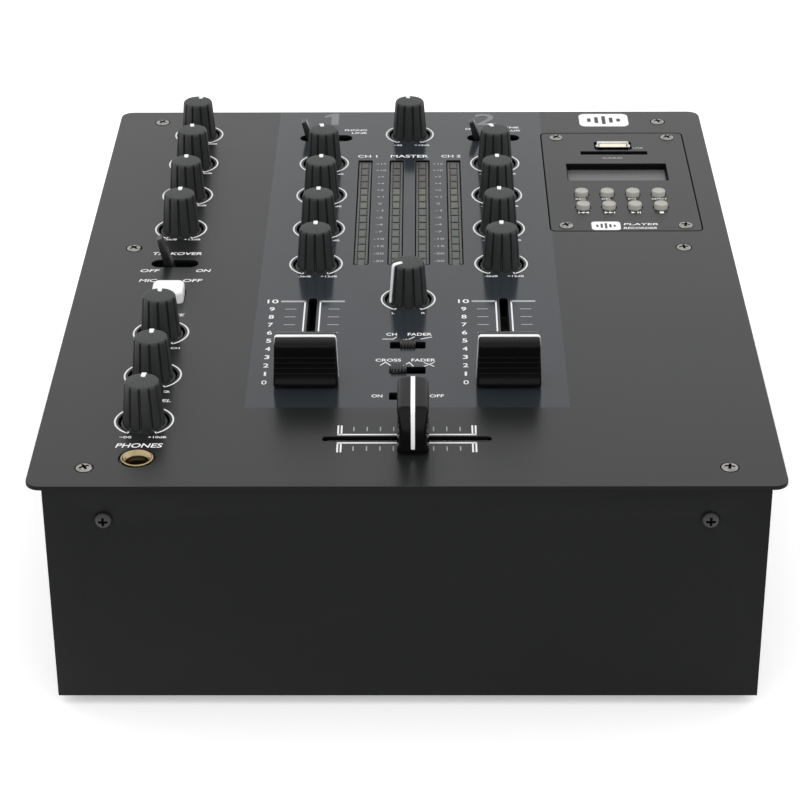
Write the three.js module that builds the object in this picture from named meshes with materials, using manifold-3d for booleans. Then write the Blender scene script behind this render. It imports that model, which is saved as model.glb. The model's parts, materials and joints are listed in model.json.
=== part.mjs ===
// A two-channel DJ mixer with a built-in player module, as separate parts.
// Millimetres, +Z up, +X to the right of the person using it, +Y towards the rear panel.
// The origin lies on the surface that the feet stand on, under the middle of the whole outline.
import * as THREE from "three";
import { mergeVertices } from "three/addons/utils/BufferGeometryUtils.js";
import Module from "manifold-3d";

const wasm = await Module();
wasm.setup();

// ---------- driving dimensions ----------
const PLATE_WIDTH = 254;
const PLATE_DEPTH = 322;
const PLATE_THICKNESS = 1.5;
const PLATE_CORNER = 5;
const SOCKET_REACH = 8; // how far the rear signal sockets stand out of the case
const CASE_REAR_INSET = 5.5;
const FRONT = -(PLATE_DEPTH + SOCKET_REACH - CASE_REAR_INSET) / 2; // the plate's front edge
const PLATE_MIDDLE = FRONT + PLATE_DEPTH / 2;
const FOOT_HEIGHT = 4;
const BODY_HEIGHT = 85.5; // underside of the case to the top of the plate
const TOP = FOOT_HEIGHT + BODY_HEIGHT;
const GAP = 0.3; // between pieces that would otherwise touch
const JOINT = 0.5; // how far solids that are joined into one piece reach into each other
const CORNERS = [[-1, -1], [-1, 1], [1, -1], [1, 1]];

const CASE_WIDTH = 243;
const CASE_WALL = 1.2;
const CASE_FRONT_INSET = 1.5;
const CASE_FRONT = FRONT + CASE_FRONT_INSET;
const CASE_REAR = FRONT + PLATE_DEPTH - CASE_REAR_INSET;
const CASE_TOP = TOP - PLATE_THICKNESS - GAP;
const SIDE_RIM = 17.5; // widths of the folded rim that the plate is screwed to
const END_RIM = 10;

// Control grid: x from the middle, y as the distance from the front edge of the plate.
const MIC_X = -91.2;
const CHANNEL_X = 36;
const ROW_PITCH = 32.3;
const EQ_ROW = 168.6;
const TOP_ROW = 296.6;
const PHONES_ROW = 44.7;
const PHONES_PITCH = 33;
const BALANCE_Y = 138.1;

const KNOB_HOLE_R = 8.85;
const KNOB_HEIGHT = 15.8;
const KNOB_SKIRT = { r: 8, bottom: -1.8, top: -0.9 };
const KNOB_BASE_R = 7.35;
const KNOB_TOP_R = 6.1;
const KNOB_SIDES = 16;
const SHAFT_R = 3;
const SHAFT_BOTTOM = TOP - 5;

const BOARD_TOP = TOP - 13;
const BOARD_THICKNESS = 1.6;
const BOARD_PLAN = {
  left: -112, right: 51, strip: -62, tongue: 16, front: 33, tongueFront: 50, yard: 156, rear: 307,
};
const POT = { width: 10, depth: 12, top: SHAFT_BOTTOM - GAP };

// A lever's pivot lies below the plate; its reach is the blade's length above the plate, upright.
const LEVERS = [
  { name: "talkover_lever", x: -91, y: 169.2, slot: 18, pivot: 9, reach: 12, lean: 15 },
  { name: "source_lever_1", x: -CHANNEL_X, y: 292.7, slot: 22.4, pivot: 21, reach: 9.7, lean: 18 },
  { name: "source_lever_2", x: CHANNEL_X, y: 292.7, slot: 22.4, pivot: 21, reach: 9.7, lean: 18 },
];
const LEVER_SLOT_DEPTH = 6.4;
const LEVER = { thickness: 4.6, foot: 5.2, neck: 3.6, tip: 2.2, bevel: 0.4, boss: 3.4 };
const LEVER_HOUSING = { width: 22, depth: 9, below: 5.5, above: 1.5, swing: 19, bossRoom: 3.9 };

const FADER_SLOT_WIDTH = 3.2;
const FADER_SLOT_LENGTH = 70;
const FADER_ZERO_Y = 72.2;
const FADER_TRAVEL = 64;
const CROSS_SLOT_LENGTH = 58;
const CROSS_Y = 31.9;
const CROSS_REST_X = 2.1;
const CAP = { length: 22.6, width: 11, height: 17.1, float: 1 };
const CAP_SIDES = { foot: 1.6, waist: 9.2, waistAt: 0.42, pinch: 0.9, topLength: 21.8, topWidth: 10.3 };
const CAP_BEVEL = { side: 0.7, end: 0.9, drop: 1 };
const FADER_BODY = { width: 15, height: 11, extra: 22, crossExtra: 16, end: 4, play: 0.7 };
const STEM = { across: 2, along: 5, depth: 8 };

const SWITCH_SLOT = { width: 12.8, depth: 5.1 };
const SLIDE_SWITCHES = [
  { name: "fader_curve_switch", y: 100.7, x: 0 },
  { name: "crossfader_curve_switch", y: 81.3, x: -3.2 },
  { name: "crossfader_switch", y: 62.1, x: 3.2 },
];
const SWITCH_BODY = { width: 16, depth: 7 };
const SLIDER = { width: 5.8, depth: 4.3, proud: 1.8, depthBelow: 5 };

const MIC_BUTTON = { x: -91.1, y: 141, side: 12, corner: 2, proud: 4.2, below: 3.5, hole: 12.7 };
const MIC_BUTTON_FLANGE = { side: 15, thickness: 1.2 };
const MIC_SWITCH = { side: 12, height: 4 };

const METER_XS = [-18.6, -5.3, 5.4, 18.5];
const METER = { width: 5.8, length: 100.8, y: 218.3, recess: 0.7, clearance: 0.3 };
const METER_CARRIER = { width: 46, overlap: 1.5, thickness: 3 };

const JACK = { x: MIC_X, y: 19, collar: 5.9, hole: 6.2, bore: 3.2, depth: 30, body: 14, proud: 0.3 };

const PLAYER = { x: 87, y: 247.9, width: 60.4, depth: 98.9, corner: 1.2, gap: 0.4, room: 3 };
const PLAYER_SCREWS = { x: 23.9, y: 44.6, post: 2.5 };
const USB = { y: 283.9, width: 13.2, depth: 6, wall: 0.45, proud: 0.6, mouth: 9 };
const USB_HOLE = { width: 15.8, depth: 8.6 };
const CARD_SLOT = { y: 276.2, width: 28.3, depth: 3.4 };
const DISPLAY = { y: 256.3, width: 42, depth: 17.2, recess: 2.7, moduleWidth: 46, moduleDepth: 21 };
const PLAYER_BUTTON = { x: 86.6, pitch: 10.53, rows: [233.3, 220.8], hole: 3.15 };
const PLAYER_KEY = { r: 2.75, proud: 2, bevel: 0.5, flange: 3.7, rim: -4, stemR: 1.5, bottom: -6 };
const PLAYER_BOARD_TOP = TOP - 12;
const PUSH_SWITCH = { side: 6, height: 4 };
const CARD_READER = { width: 32, depth: 4.8, height: 7.5, slotWidth: 26, slotDepth: 2.2 };
const USB_TONGUE = { inset: 1.1, thickness: 2, offset: 0.9, top: -0.5 };

const PLATE_SCREW_X = 108.3;
const PLATE_SCREW_YS = [12.5, 183, 310.3];
const SCREW = { head: 2.85, hole: 3.15, shank: 1.5, length: 9 };
const FRONT_SCREW = { x: 101.5, z: FOOT_HEIGHT + 71.8, hole: 1.7 };

const FOOT = { r: 9, bottom: 8.2, bevel: 0.8, stud: 2.2, hole: 2.6, x: 103, y: 137 };

const SUPPLY = {
  x: 80, y: 45, width: 62, depth: 110, standoff: 6, post: 3, postInset: 4.5,
  core: { width: 46, depth: 40, height: 33.5, y: -22 },
  coil: { width: 30, depth: 50, height: 24, above: 2.5 },
  can: { r: 9, height: 25.5, x: 12, y: 30 },
};

const RCA = { columns: 6, pitchX: 15, pitchZ: 18, x: -14, z: 46, ring: 4.1, hole: 4.5, pin: 1.6, block: 10 };
const MIC_SOCKET = {
  x: -88, z: 46, collar: 7, hole: 7.4, bore: 3.2, reach: 3.5, body: { width: 18, depth: 30, height: 20 },
};
const INLET = { x: 84, z: 42, width: 30, height: 56, flange: 2.4, depth: 24, shoulder: 1.8 };
const INLET_MOUTH = { z: -10, width: 24, height: 17, depth: 17 };
const INLET_PIN = { width: 2, height: 4, shorter: 1, places: [[-7, -2.5], [7, -2.5], [0, 2.5]] };
const ROCKER = { z: 15, width: 18, height: 14, clearance: 0.7, well: 12, tilt: THREE.MathUtils.degToRad(8) };
const ROCKER_SIDES = { rim: 3.6, dip: 2.6, back: -2.8 };

// ---------- materials ----------
function material(color, roughness, metalness) {
  return new THREE.MeshStandardMaterial({ color, roughness, metalness });
}
const PLATE_PAINT = material(0x4a4b4c, 0.45, 0.3);
const CASE_PAINT = material(0x1d1e1f, 0.5, 0.3);
const PLAYER_PAINT = material(0x505152, 0.45, 0.3);
const KNOB_RUBBER = material(0x2c2d2e, 0.8, 0);
const CAP_PLASTIC = material(0x141515, 0.25, 0);
const LEVER_PLASTIC = material(0x222324, 0.5, 0);
const SWITCH_PLASTIC = material(0x191a1a, 0.5, 0);
const GREY_PLASTIC = material(0xb0b0a8, 0.6, 0);
const WHITE_PLASTIC = material(0xf2f2f0, 0.4, 0);
const METER_LENS = material(0x6a6c70, 0.3, 0);
const STEEL = material(0xb8b8b4, 0.35, 0.9);
const BRASS = material(0xc9a96a, 0.3, 0.9);
const BOARD = material(0x2c5a38, 0.5, 0.1);
const CORE = material(0x6f7276, 0.5, 0.8);
const RUBBER = material(0x171717, 0.9, 0);
const SOCKET_PLASTIC = material(0x161616, 0.5, 0);

// ---------- solids ----------
// A closed three.js geometry as a manifold-3d solid whose faces point out.
function solid(geometry) {
  const bare = new THREE.BufferGeometry();
  const flat = geometry.index ? geometry.toNonIndexed() : geometry;
  bare.setAttribute("position", flat.getAttribute("position"));
  const merged = mergeVertices(bare, 1e-4);
  const kept = [];
  const corners = merged.index.array;
  for (let i = 0; i < corners.length; i += 3) {
    const [a, b, c] = [corners[i], corners[i + 1], corners[i + 2]];
    if (a !== b && b !== c && c !== a) kept.push(a, b, c);
  }
  const vertProperties = merged.attributes.position.array;
  const made = build(vertProperties, kept);
  return made.volume() < 0 ? build(vertProperties, kept.reverse()) : made;
}

function build(vertProperties, corners) {
  const triVerts = new Uint32Array(corners);
  return new wasm.Manifold(new wasm.Mesh({ numProp: 3, vertProperties, triVerts }));
}

function geometryOf(made) {
  const mesh = made.getMesh();
  const points = new Float32Array(mesh.numVert * 3);
  for (let i = 0; i < mesh.numVert; i++) {
    points.set(mesh.vertProperties.subarray(i * mesh.numProp, i * mesh.numProp + 3), i * 3);
  }
  const geometry = new THREE.BufferGeometry();
  geometry.setAttribute("position", new THREE.BufferAttribute(points, 3));
  geometry.setIndex(new THREE.BufferAttribute(mesh.triVerts, 1));
  geometry.computeVertexNormals();
  return geometry;
}

function join(first, ...others) {
  return others.reduce((whole, piece) => whole.add(piece), first);
}

function cut(first, ...others) {
  return others.reduce((whole, piece) => whole.subtract(piece), first);
}

// A box centred on x and y, standing on z.
function box(width, depth, height, x = 0, y = 0, z = 0) {
  return solid(new THREE.BoxGeometry(width, depth, height).translate(x, y, z + height / 2));
}

// A solid of revolution about a vertical axis, from [radius, z] pairs that start and end on the axis.
function turned(profile, sides, x = 0, y = 0, z = 0) {
  const points = profile.map(([r, h]) => new THREE.Vector2(r, h));
  return solid(new THREE.LatheGeometry(points, sides).rotateX(Math.PI / 2).translate(x, y, z));
}

function rod(r, height, sides, x = 0, y = 0, z = 0) {
  return turned([[0, 0], [r, 0], [r, height], [0, height]], sides, x, y, z);
}

// A rod that runs towards +Y from y.
function rearwardRod(r, length, sides, x, y, z) {
  const points = [[0, 0], [r, 0], [r, length], [0, length]].map(([a, b]) => new THREE.Vector2(a, b));
  return solid(new THREE.LatheGeometry(points, sides).translate(x, y, z));
}

// Outlines are point lists, so that every arc has the number of sides that it needs.
function arc(r, x, y, from, turn, sides) {
  return Array.from({ length: sides + 1 }, (_, i) => {
    const angle = from + (turn * i) / sides;
    return new THREE.Vector2(x + r * Math.cos(angle), y + r * Math.sin(angle));
  });
}

function roundedRect(width, depth, r, x = 0, y = 0, sides = 5) {
  const [w, d] = [width / 2 - r, depth / 2 - r];
  const corners = [[w, -d, -0.5], [w, d, 0], [-w, d, 0.5], [-w, -d, 1]];
  return corners.flatMap(([dx, dy, turn]) => arc(r, x + dx, y + dy, turn * Math.PI, Math.PI / 2, sides));
}

function circle(r, x, y, sides = 16) {
  return arc(r, x, y, 0, Math.PI * 2, sides).slice(0, -1);
}

function slot(width, depth, x, y) {
  const [r, straight] = [depth / 2, (width - depth) / 2];
  const right = arc(r, x + straight, y, -Math.PI / 2, Math.PI, 6);
  const left = arc(r, x - straight, y, Math.PI / 2, Math.PI, 6);
  return [...right, ...left];
}

function rect(width, depth, x = 0, y = 0) {
  const corners = [[-1, -1], [1, -1], [1, 1], [-1, 1]];
  return corners.map(([dx, dy]) => new THREE.Vector2(x + (dx * width) / 2, y + (dy * depth) / 2));
}

function extruded(outline, height, z) {
  const settings = { depth: height, bevelEnabled: false, curveSegments: 1 };
  return solid(new THREE.ExtrudeGeometry(new THREE.Shape(outline), settings).translate(0, 0, z));
}

// A flat sheet with an outline and holes, standing on z.
function sheet(outline, thickness, z, holes = []) {
  return cut(extruded(outline, thickness, z), ...holes.map((hole) => extruded(hole, thickness + 2, z - 1)));
}

const mixer = new THREE.Group();

function add(name, made, look, x = 0, y = 0, z = 0) {
  const mesh = new THREE.Mesh(geometryOf(made), look);
  mesh.name = name;
  mesh.position.set(x, y, z);
  mixer.add(mesh);
}

// ---------- where the knobs are ----------
function knobPlaces() {
  const places = [
    { name: "mic_level_knob", x: MIC_X, y: TOP_ROW },
    { name: "mic_high_knob", x: MIC_X, y: EQ_ROW + 3 * ROW_PITCH },
    { name: "mic_mid_knob", x: MIC_X, y: EQ_ROW + 2 * ROW_PITCH },
    { name: "mic_low_knob", x: MIC_X, y: EQ_ROW + ROW_PITCH },
    { name: "cue_mix_knob", x: MIC_X, y: PHONES_ROW + 2 * PHONES_PITCH },
    { name: "cue_balance_knob", x: MIC_X, y: PHONES_ROW + PHONES_PITCH },
    { name: "phones_level_knob", x: MIC_X, y: PHONES_ROW },
    { name: "master_knob", x: 0, y: TOP_ROW },
    { name: "balance_knob", x: 0, y: BALANCE_Y },
  ];
  for (const [channel, side] of [[1, -1], [2, 1]]) {
    ["low", "mid", "high", "gain"].forEach((band, row) => {
      places.push({ name: `${band}_knob_${channel}`, x: side * CHANNEL_X, y: EQ_ROW + row * ROW_PITCH });
    });
  }
  return places;
}

function playerButtonPlaces() {
  const names = [["record", "delete", "equaliser", "repeat"], ["previous", "next", "play", "stop"]];
  const places = [];
  names.forEach((row, r) => row.forEach((name, i) => {
    const x = PLAYER_BUTTON.x + (i - 1.5) * PLAYER_BUTTON.pitch;
    places.push({ name: `${name}_button`, x, y: FRONT + PLAYER_BUTTON.rows[r] });
  }));
  return places;
}

// ---------- sheet-metal parts ----------
function topPlate() {
  const holes = knobPlaces().map(({ x, y }) => circle(KNOB_HOLE_R, x, FRONT + y));
  for (const lever of LEVERS) holes.push(slot(lever.slot, LEVER_SLOT_DEPTH, lever.x, FRONT + lever.y));
  const faderMiddle = FRONT + FADER_ZERO_Y + FADER_TRAVEL / 2;
  for (const side of [-1, 1]) {
    holes.push(rect(FADER_SLOT_WIDTH, FADER_SLOT_LENGTH, side * CHANNEL_X, faderMiddle));
  }
  holes.push(rect(CROSS_SLOT_LENGTH, FADER_SLOT_WIDTH, 0, FRONT + CROSS_Y));
  for (const { y } of SLIDE_SWITCHES) {
    holes.push(rect(SWITCH_SLOT.width, SWITCH_SLOT.depth, 0, FRONT + y));
  }
  for (const x of METER_XS) holes.push(rect(METER.width, METER.length, x, FRONT + METER.y));
  const { x, y, hole, corner } = MIC_BUTTON;
  holes.push(roundedRect(hole, hole, corner, x, FRONT + y, 3));
  holes.push(circle(JACK.hole, JACK.x, FRONT + JACK.y));
  const opening = 2 * PLAYER.gap;
  holes.push(rect(PLAYER.width + opening, PLAYER.depth + opening, PLAYER.x, FRONT + PLAYER.y));
  for (const side of [-1, 1]) {
    for (const back of PLATE_SCREW_YS) {
      holes.push(circle(SCREW.hole, side * PLATE_SCREW_X, FRONT + back, 12));
    }
  }
  const outline = roundedRect(PLATE_WIDTH, PLATE_DEPTH, PLATE_CORNER, 0, PLATE_MIDDLE);
  add("top_plate", sheet(outline, PLATE_THICKNESS, TOP - PLATE_THICKNESS, holes), PLATE_PAINT);
}

// The folded case: floor, four walls and a rim under the plate, open on top.
function caseTray() {
  const depth = CASE_REAR - CASE_FRONT;
  const middle = (CASE_REAR + CASE_FRONT) / 2;
  const height = CASE_TOP - FOOT_HEIGHT;
  const outside = box(CASE_WIDTH, depth, height, 0, middle, FOOT_HEIGHT);
  const room = 2 * CASE_WALL;
  const inside = box(CASE_WIDTH - room, depth - room, height - room, 0, middle, FOOT_HEIGHT + CASE_WALL);
  const mouthFloor = FOOT_HEIGHT + 2 * CASE_WALL;
  const mouth = box(CASE_WIDTH - 2 * SIDE_RIM, depth - 2 * END_RIM, height, 0, middle, mouthFloor);
  const { x: playerX, y: playerY, room: notch } = PLAYER;
  const notchBottom = CASE_TOP - 2 * CASE_WALL;
  const [notchWidth, notchDepth] = [PLAYER.width + notch, PLAYER.depth + notch];
  const playerRoom = box(notchWidth, notchDepth, 4 * CASE_WALL, playerX, FRONT + playerY, notchBottom);
  const drills = [];
  for (const side of [-1, 1]) {
    for (const back of PLATE_SCREW_YS) {
      const start = CASE_TOP - SCREW.length;
      drills.push(rod(SCREW.shank + GAP, SCREW.length + 1, 12, side * PLATE_SCREW_X, FRONT + back, start));
    }
    const { x, z, hole } = FRONT_SCREW;
    drills.push(rearwardRod(hole, 2 * CASE_WALL + 1, 12, side * x, CASE_FRONT - 1, z));
    for (const end of [-1, 1]) {
      drills.push(rod(FOOT.hole, FOOT_HEIGHT + CASE_WALL, 12, side * FOOT.x, middle + end * FOOT.y, 1));
    }
  }
  drills.push(...rearOpenings());
  add("case_tray", cut(outside, inside, mouth, playerRoom, ...drills), CASE_PAINT);
}

function rcaPlaces() {
  const places = [];
  for (let column = 0; column < RCA.columns; column++) {
    for (const row of [-0.5, 0.5]) {
      const x = RCA.x + (column - (RCA.columns - 1) / 2) * RCA.pitchX;
      places.push({ x, z: RCA.z + row * RCA.pitchZ });
    }
  }
  return places;
}

function rearOpenings() {
  const start = CASE_REAR - 3;
  const through = 6;
  const openings = rcaPlaces().map(({ x, z }) => rearwardRod(RCA.hole, through, 12, x, start, z));
  openings.push(rearwardRod(MIC_SOCKET.hole, through, 20, MIC_SOCKET.x, start, MIC_SOCKET.z));
  const { x, z, width, height, shoulder } = INLET;
  const cutOut = 2 * (shoulder - GAP);
  openings.push(box(width - cutOut, through, height - cutOut, x, CASE_REAR, z - (height - cutOut) / 2));
  return openings;
}

function feet() {
  const middle = (CASE_REAR + CASE_FRONT) / 2;
  const { bottom, bevel, r, stud } = FOOT;
  const [padTop, studTop] = [FOOT_HEIGHT - 0.1, FOOT_HEIGHT + CASE_WALL + 2];
  const pad = [[0, 0], [bottom, 0], [r, bevel], [r, padTop]];
  const profile = [...pad, [stud, padTop], [stud, studTop], [0, studTop]];
  for (const [end, along] of [["front", -1], ["rear", 1]]) {
    for (const [side, across] of [["left", -1], ["right", 1]]) {
      add(`foot_${end}_${side}`, turned(profile, 20), RUBBER, across * FOOT.x, middle + along * FOOT.y, 0);
    }
  }
}

function plateScrews() {
  const { head, shank, length } = SCREW;
  const countersink = head - shank;
  const shaft = [[0, -length], [shank, -length], [shank, -countersink]];
  const profile = [...shaft, [head, 0], [head, 0.1], [0, 0.1]];
  for (const [side, across] of [["left", -1], ["right", 1]]) {
    ["front", "middle", "rear"].forEach((where, i) => {
      const y = FRONT + PLATE_SCREW_YS[i];
      add(`plate_screw_${where}_${side}`, turned(profile, 12), STEEL, across * PLATE_SCREW_X, y, TOP);
    });
  }
}

// ---------- controls that turn, tilt, slide or press ----------
function knobs() {
  const below = SHAFT_BOTTOM - TOP;
  const { r, bottom, top } = KNOB_SKIRT;
  const profile = [
    [0, below], [SHAFT_R, below], [SHAFT_R, bottom], [r, bottom], [r, top], [KNOB_BASE_R, top],
    [KNOB_TOP_R, KNOB_HEIGHT - 0.6], [KNOB_TOP_R - 0.4, KNOB_HEIGHT - 0.1], [0, KNOB_HEIGHT],
  ];
  for (const { name, x, y } of knobPlaces()) {
    add(name, turned(profile, KNOB_SIDES), KNOB_RUBBER, x, FRONT + y, TOP);
  }
}

// A flat tapered blade on a round boss; it leans to the left at rest and tilts about the boss.
function levers() {
  const { thickness, foot, neck, tip, bevel, boss } = LEVER;
  for (const { name, x, y, pivot, reach, lean } of LEVERS) {
    const top = pivot + reach;
    const flank = [[foot, 0], [foot, pivot / 3], [neck, pivot], [tip, top - bevel]];
    const right = [...flank, [tip - 2 * bevel, top]];
    const left = right.map(([width, z]) => [-width, z]).reverse();
    const outline = [...right, ...left].map(([width, z]) => new THREE.Vector2(width / 2, z));
    const blade = extruded(outline, thickness, -thickness / 2);
    const round = new THREE.CylinderGeometry(boss, boss, thickness, 16);
    const upright = join(solid(geometryOf(blade).rotateX(Math.PI / 2)), solid(round));
    const leaning = geometryOf(upright).rotateY(THREE.MathUtils.degToRad(-lean));
    add(name, solid(leaning), LEVER_PLASTIC, x, FRONT + y, TOP - pivot);
  }
}

// Fader cap: flared foot, pinched waist and a slightly narrower top, extruded along its length.
function capSolid() {
  const { length, width, height } = CAP;
  const { foot, waist, waistAt, pinch, topLength, topWidth } = CAP_SIDES;
  const { side: sideBevel, end: endBevel, drop } = CAP_BEVEL;
  const side = new THREE.Shape();
  side.moveTo(-width / 2, 0);
  side.lineTo(width / 2, 0);
  side.lineTo(width / 2, foot);
  side.quadraticCurveTo(waist / 2 - pinch, height * waistAt, topWidth / 2, height - drop);
  side.lineTo(topWidth / 2 - sideBevel, height);
  side.lineTo(sideBevel - topWidth / 2, height);
  side.lineTo(-topWidth / 2, height - drop);
  side.quadraticCurveTo(pinch - waist / 2, height * waistAt, -width / 2, foot);
  const settings = { depth: length, bevelEnabled: false, curveSegments: 5 };
  const long = new THREE.ExtrudeGeometry(side, settings).translate(0, 0, -length / 2);
  const half = [[length, 0], [topLength, height - drop], [topLength - 2 * endBevel, height]];
  const ends = [...half, ...half.map(([across, z]) => [-across, z]).reverse()];
  const outline = ends.map(([across, z]) => new THREE.Vector2(across / 2, z));
  const wide = geometryOf(extruded(outline, width + 2, -width / 2 - 1)).rotateX(Math.PI / 2);
  return solid(long.rotateX(Math.PI / 2).rotateZ(Math.PI / 2)).intersect(solid(wide));
}

// The cap's length runs along X here; the crossfader's is turned by a quarter.
function faders() {
  const below = STEM.depth + PLATE_THICKNESS;
  const stem = box(STEM.across, STEM.along, below + CAP.float + 2, 0, 0, -below);
  const raised = solid(geometryOf(capSolid()).translate(0, 0, CAP.float));
  const upright = join(raised, stem);
  for (const [channel, side] of [[1, -1], [2, 1]]) {
    add(`fader_cap_${channel}`, upright, CAP_PLASTIC, side * CHANNEL_X, FRONT + FADER_ZERO_Y, TOP);
  }
  const turnedCap = solid(geometryOf(upright).rotateZ(Math.PI / 2));
  add("crossfader_cap", turnedCap, CAP_PLASTIC, CROSS_REST_X, FRONT + CROSS_Y, TOP);
}

function slideSwitches() {
  const { width, depth, proud, depthBelow } = SLIDER;
  for (const { name, x, y } of SLIDE_SWITCHES) {
    add(name, box(width, depth, proud + depthBelow, 0, 0, -depthBelow), SWITCH_PLASTIC, x, FRONT + y, TOP);
  }
}

function micButton() {
  const { x, y, side, corner, proud, below } = MIC_BUTTON;
  const head = sheet(roundedRect(side, side, corner, 0, 0, 4), proud + below, -below);
  const { side: flange, thickness } = MIC_BUTTON_FLANGE;
  const rim = box(flange, flange, thickness, 0, 0, -below - thickness);
  add("mic_button", join(head, rim), WHITE_PLASTIC, x, FRONT + y, TOP);
}

function playerButtons() {
  const { r, proud, bevel, flange, rim, stemR, bottom } = PLAYER_KEY;
  const profile = [
    [0, bottom], [stemR, bottom], [stemR, rim], [flange, rim], [flange, rim + 1], [r, rim + 1],
    [r, proud - bevel], [r - bevel, proud], [0, proud],
  ];
  for (const { name, x, y } of playerButtonPlaces()) {
    add(name, turned(profile, 12), GREY_PLASTIC, x, y, TOP);
  }
}

// A rocker with a hollow face, which tilts about an axis along X.
function powerRocker() {
  const { width, height, tilt, clearance } = ROCKER;
  const { rim, dip, back } = ROCKER_SIDES;
  const half = height / 2;
  const face = [[0, -half], [rim, -half], [dip, 0], [rim, half], [0, half]];
  const profile = [...face, [back, half / 2], [back, -half / 2]];
  const across = width - 2 * clearance;
  const outline = profile.map(([out, up]) => new THREE.Vector2(out, up));
  // The profile's first axis is turned to point to the rear and its second one up.
  const key = geometryOf(extruded(outline, across, -across / 2)).rotateY(Math.PI / 2).rotateX(Math.PI / 2);
  const { x, flange, z } = INLET;
  add("power_rocker", solid(key.rotateX(tilt)), SWITCH_PLASTIC, x, CASE_REAR + flange - 1, z + ROCKER.z);
}

// ---------- parts inside ----------
// The board lies under all controls, with a tongue to the slide switches and a strip at the left.
function boardOutline() {
  const { left, right, strip, tongue, front, tongueFront, yard, rear } = BOARD_PLAN;
  const corners = [
    [left, front], [strip, front], [strip, yard], [-tongue, yard], [-tongue, tongueFront],
    [tongue, tongueFront], [tongue, yard], [right, yard], [right, rear], [left, rear],
  ];
  return corners.map(([x, y]) => new THREE.Vector2(x, FRONT + y));
}

// A switch housing under each lever, on the board or hung below it where the pivot lies deep.
function leverHousing({ x, y, pivot }) {
  const { width, depth, below, above } = LEVER_HOUSING;
  const bottom = Math.min(BOARD_TOP - JOINT, TOP - pivot - below);
  const top = Math.max(BOARD_TOP - BOARD_THICKNESS + JOINT, TOP - pivot + above);
  return box(width, depth, top - bottom, x, FRONT + y, bottom);
}

function leverSwing({ x, y, pivot }) {
  const { swing, bossRoom } = LEVER_HOUSING;
  return box(swing, LEVER.thickness + 1, pivot, x, FRONT + y, TOP - pivot - bossRoom);
}

function controlBoard() {
  const pieces = LEVERS.map(leverHousing);
  const bottom = BOARD_TOP - JOINT;
  for (const { x, y } of knobPlaces()) {
    pieces.push(box(POT.width, POT.depth, POT.top - bottom, x, FRONT + y, bottom));
  }
  const switchTop = TOP - SLIDER.depthBelow - GAP;
  for (const { y } of SLIDE_SWITCHES) {
    pieces.push(box(SWITCH_BODY.width, SWITCH_BODY.depth, switchTop - bottom, 0, FRONT + y, bottom));
  }
  const { side, height } = MIC_SWITCH;
  pieces.push(box(side, side, height + JOINT, MIC_BUTTON.x, FRONT + MIC_BUTTON.y, bottom));
  const board = sheet(boardOutline(), BOARD_THICKNESS, BOARD_TOP - BOARD_THICKNESS);
  add("control_board", cut(join(board, ...pieces), ...LEVERS.map(leverSwing)), BOARD);
}

function faderBody(length) {
  const { width, height, end, play } = FADER_BODY;
  const top = -PLATE_THICKNESS - GAP;
  const whole = box(width, length, height, 0, 0, top - height);
  const grooveBottom = top - STEM.depth - play;
  const groove = box(STEM.across + 2 * play, length - 2 * end, STEM.depth + 1, 0, 0, grooveBottom);
  return cut(whole, groove);
}

function faderBodies() {
  const middle = FRONT + FADER_ZERO_Y + FADER_TRAVEL / 2;
  const long = faderBody(FADER_TRAVEL + FADER_BODY.extra);
  for (const [channel, side] of [[1, -1], [2, 1]]) {
    add(`fader_body_${channel}`, long, STEEL, side * CHANNEL_X, middle, TOP);
  }
  const short = faderBody(CROSS_SLOT_LENGTH + FADER_BODY.crossExtra);
  add("crossfader_body", solid(geometryOf(short).rotateZ(Math.PI / 2)), STEEL, 0, FRONT + CROSS_Y, TOP);
}

// Four light bars on one carrier, just below the windows of the plate.
function meterBlock() {
  const { width, length, y, recess, clearance } = METER;
  const { width: carrierWidth, overlap, thickness } = METER_CARRIER;
  const floor = BOARD_TOP + GAP;
  const carrier = box(carrierWidth, length + 2 * overlap, thickness, 0, FRONT + y, floor);
  const [barWidth, barLength] = [width - 2 * clearance, length - 2 * clearance];
  const bottom = floor + thickness - JOINT;
  const bars = METER_XS.map((x) => box(barWidth, barLength, TOP - recess - bottom, x, FRONT + y, bottom));
  add("meter_block", join(carrier, ...bars), METER_LENS);
}

function phonesJack() {
  const { x, y, collar, bore, depth, body: side, proud } = JACK;
  const bodyTop = CASE_TOP - GAP;
  const body = box(side, side, depth, x, FRONT + y, bodyTop - depth);
  const ring = rod(collar, TOP + proud - bodyTop + JOINT, 24, x, FRONT + y, bodyTop - JOINT);
  const hole = rod(bore, depth, 16, x, FRONT + y, TOP - depth + 2);
  add("phones_jack", cut(join(body, ring), hole), BRASS);
}

function playerPlate() {
  const { x, y, width, depth, corner } = PLAYER;
  const holes = playerButtonPlaces().map((place) => circle(PLAYER_BUTTON.hole, place.x, place.y, 12));
  holes.push(rect(USB_HOLE.width, USB_HOLE.depth, x, FRONT + USB.y));
  holes.push(rect(CARD_SLOT.width, CARD_SLOT.depth, x, FRONT + CARD_SLOT.y));
  holes.push(rect(DISPLAY.width, DISPLAY.depth, x, FRONT + DISPLAY.y));
  const outline = roundedRect(width, depth, corner, x, FRONT + y, 2);
  add("player_plate", sheet(outline, PLATE_THICKNESS, TOP - PLATE_THICKNESS, holes), PLAYER_PAINT);
}

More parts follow.
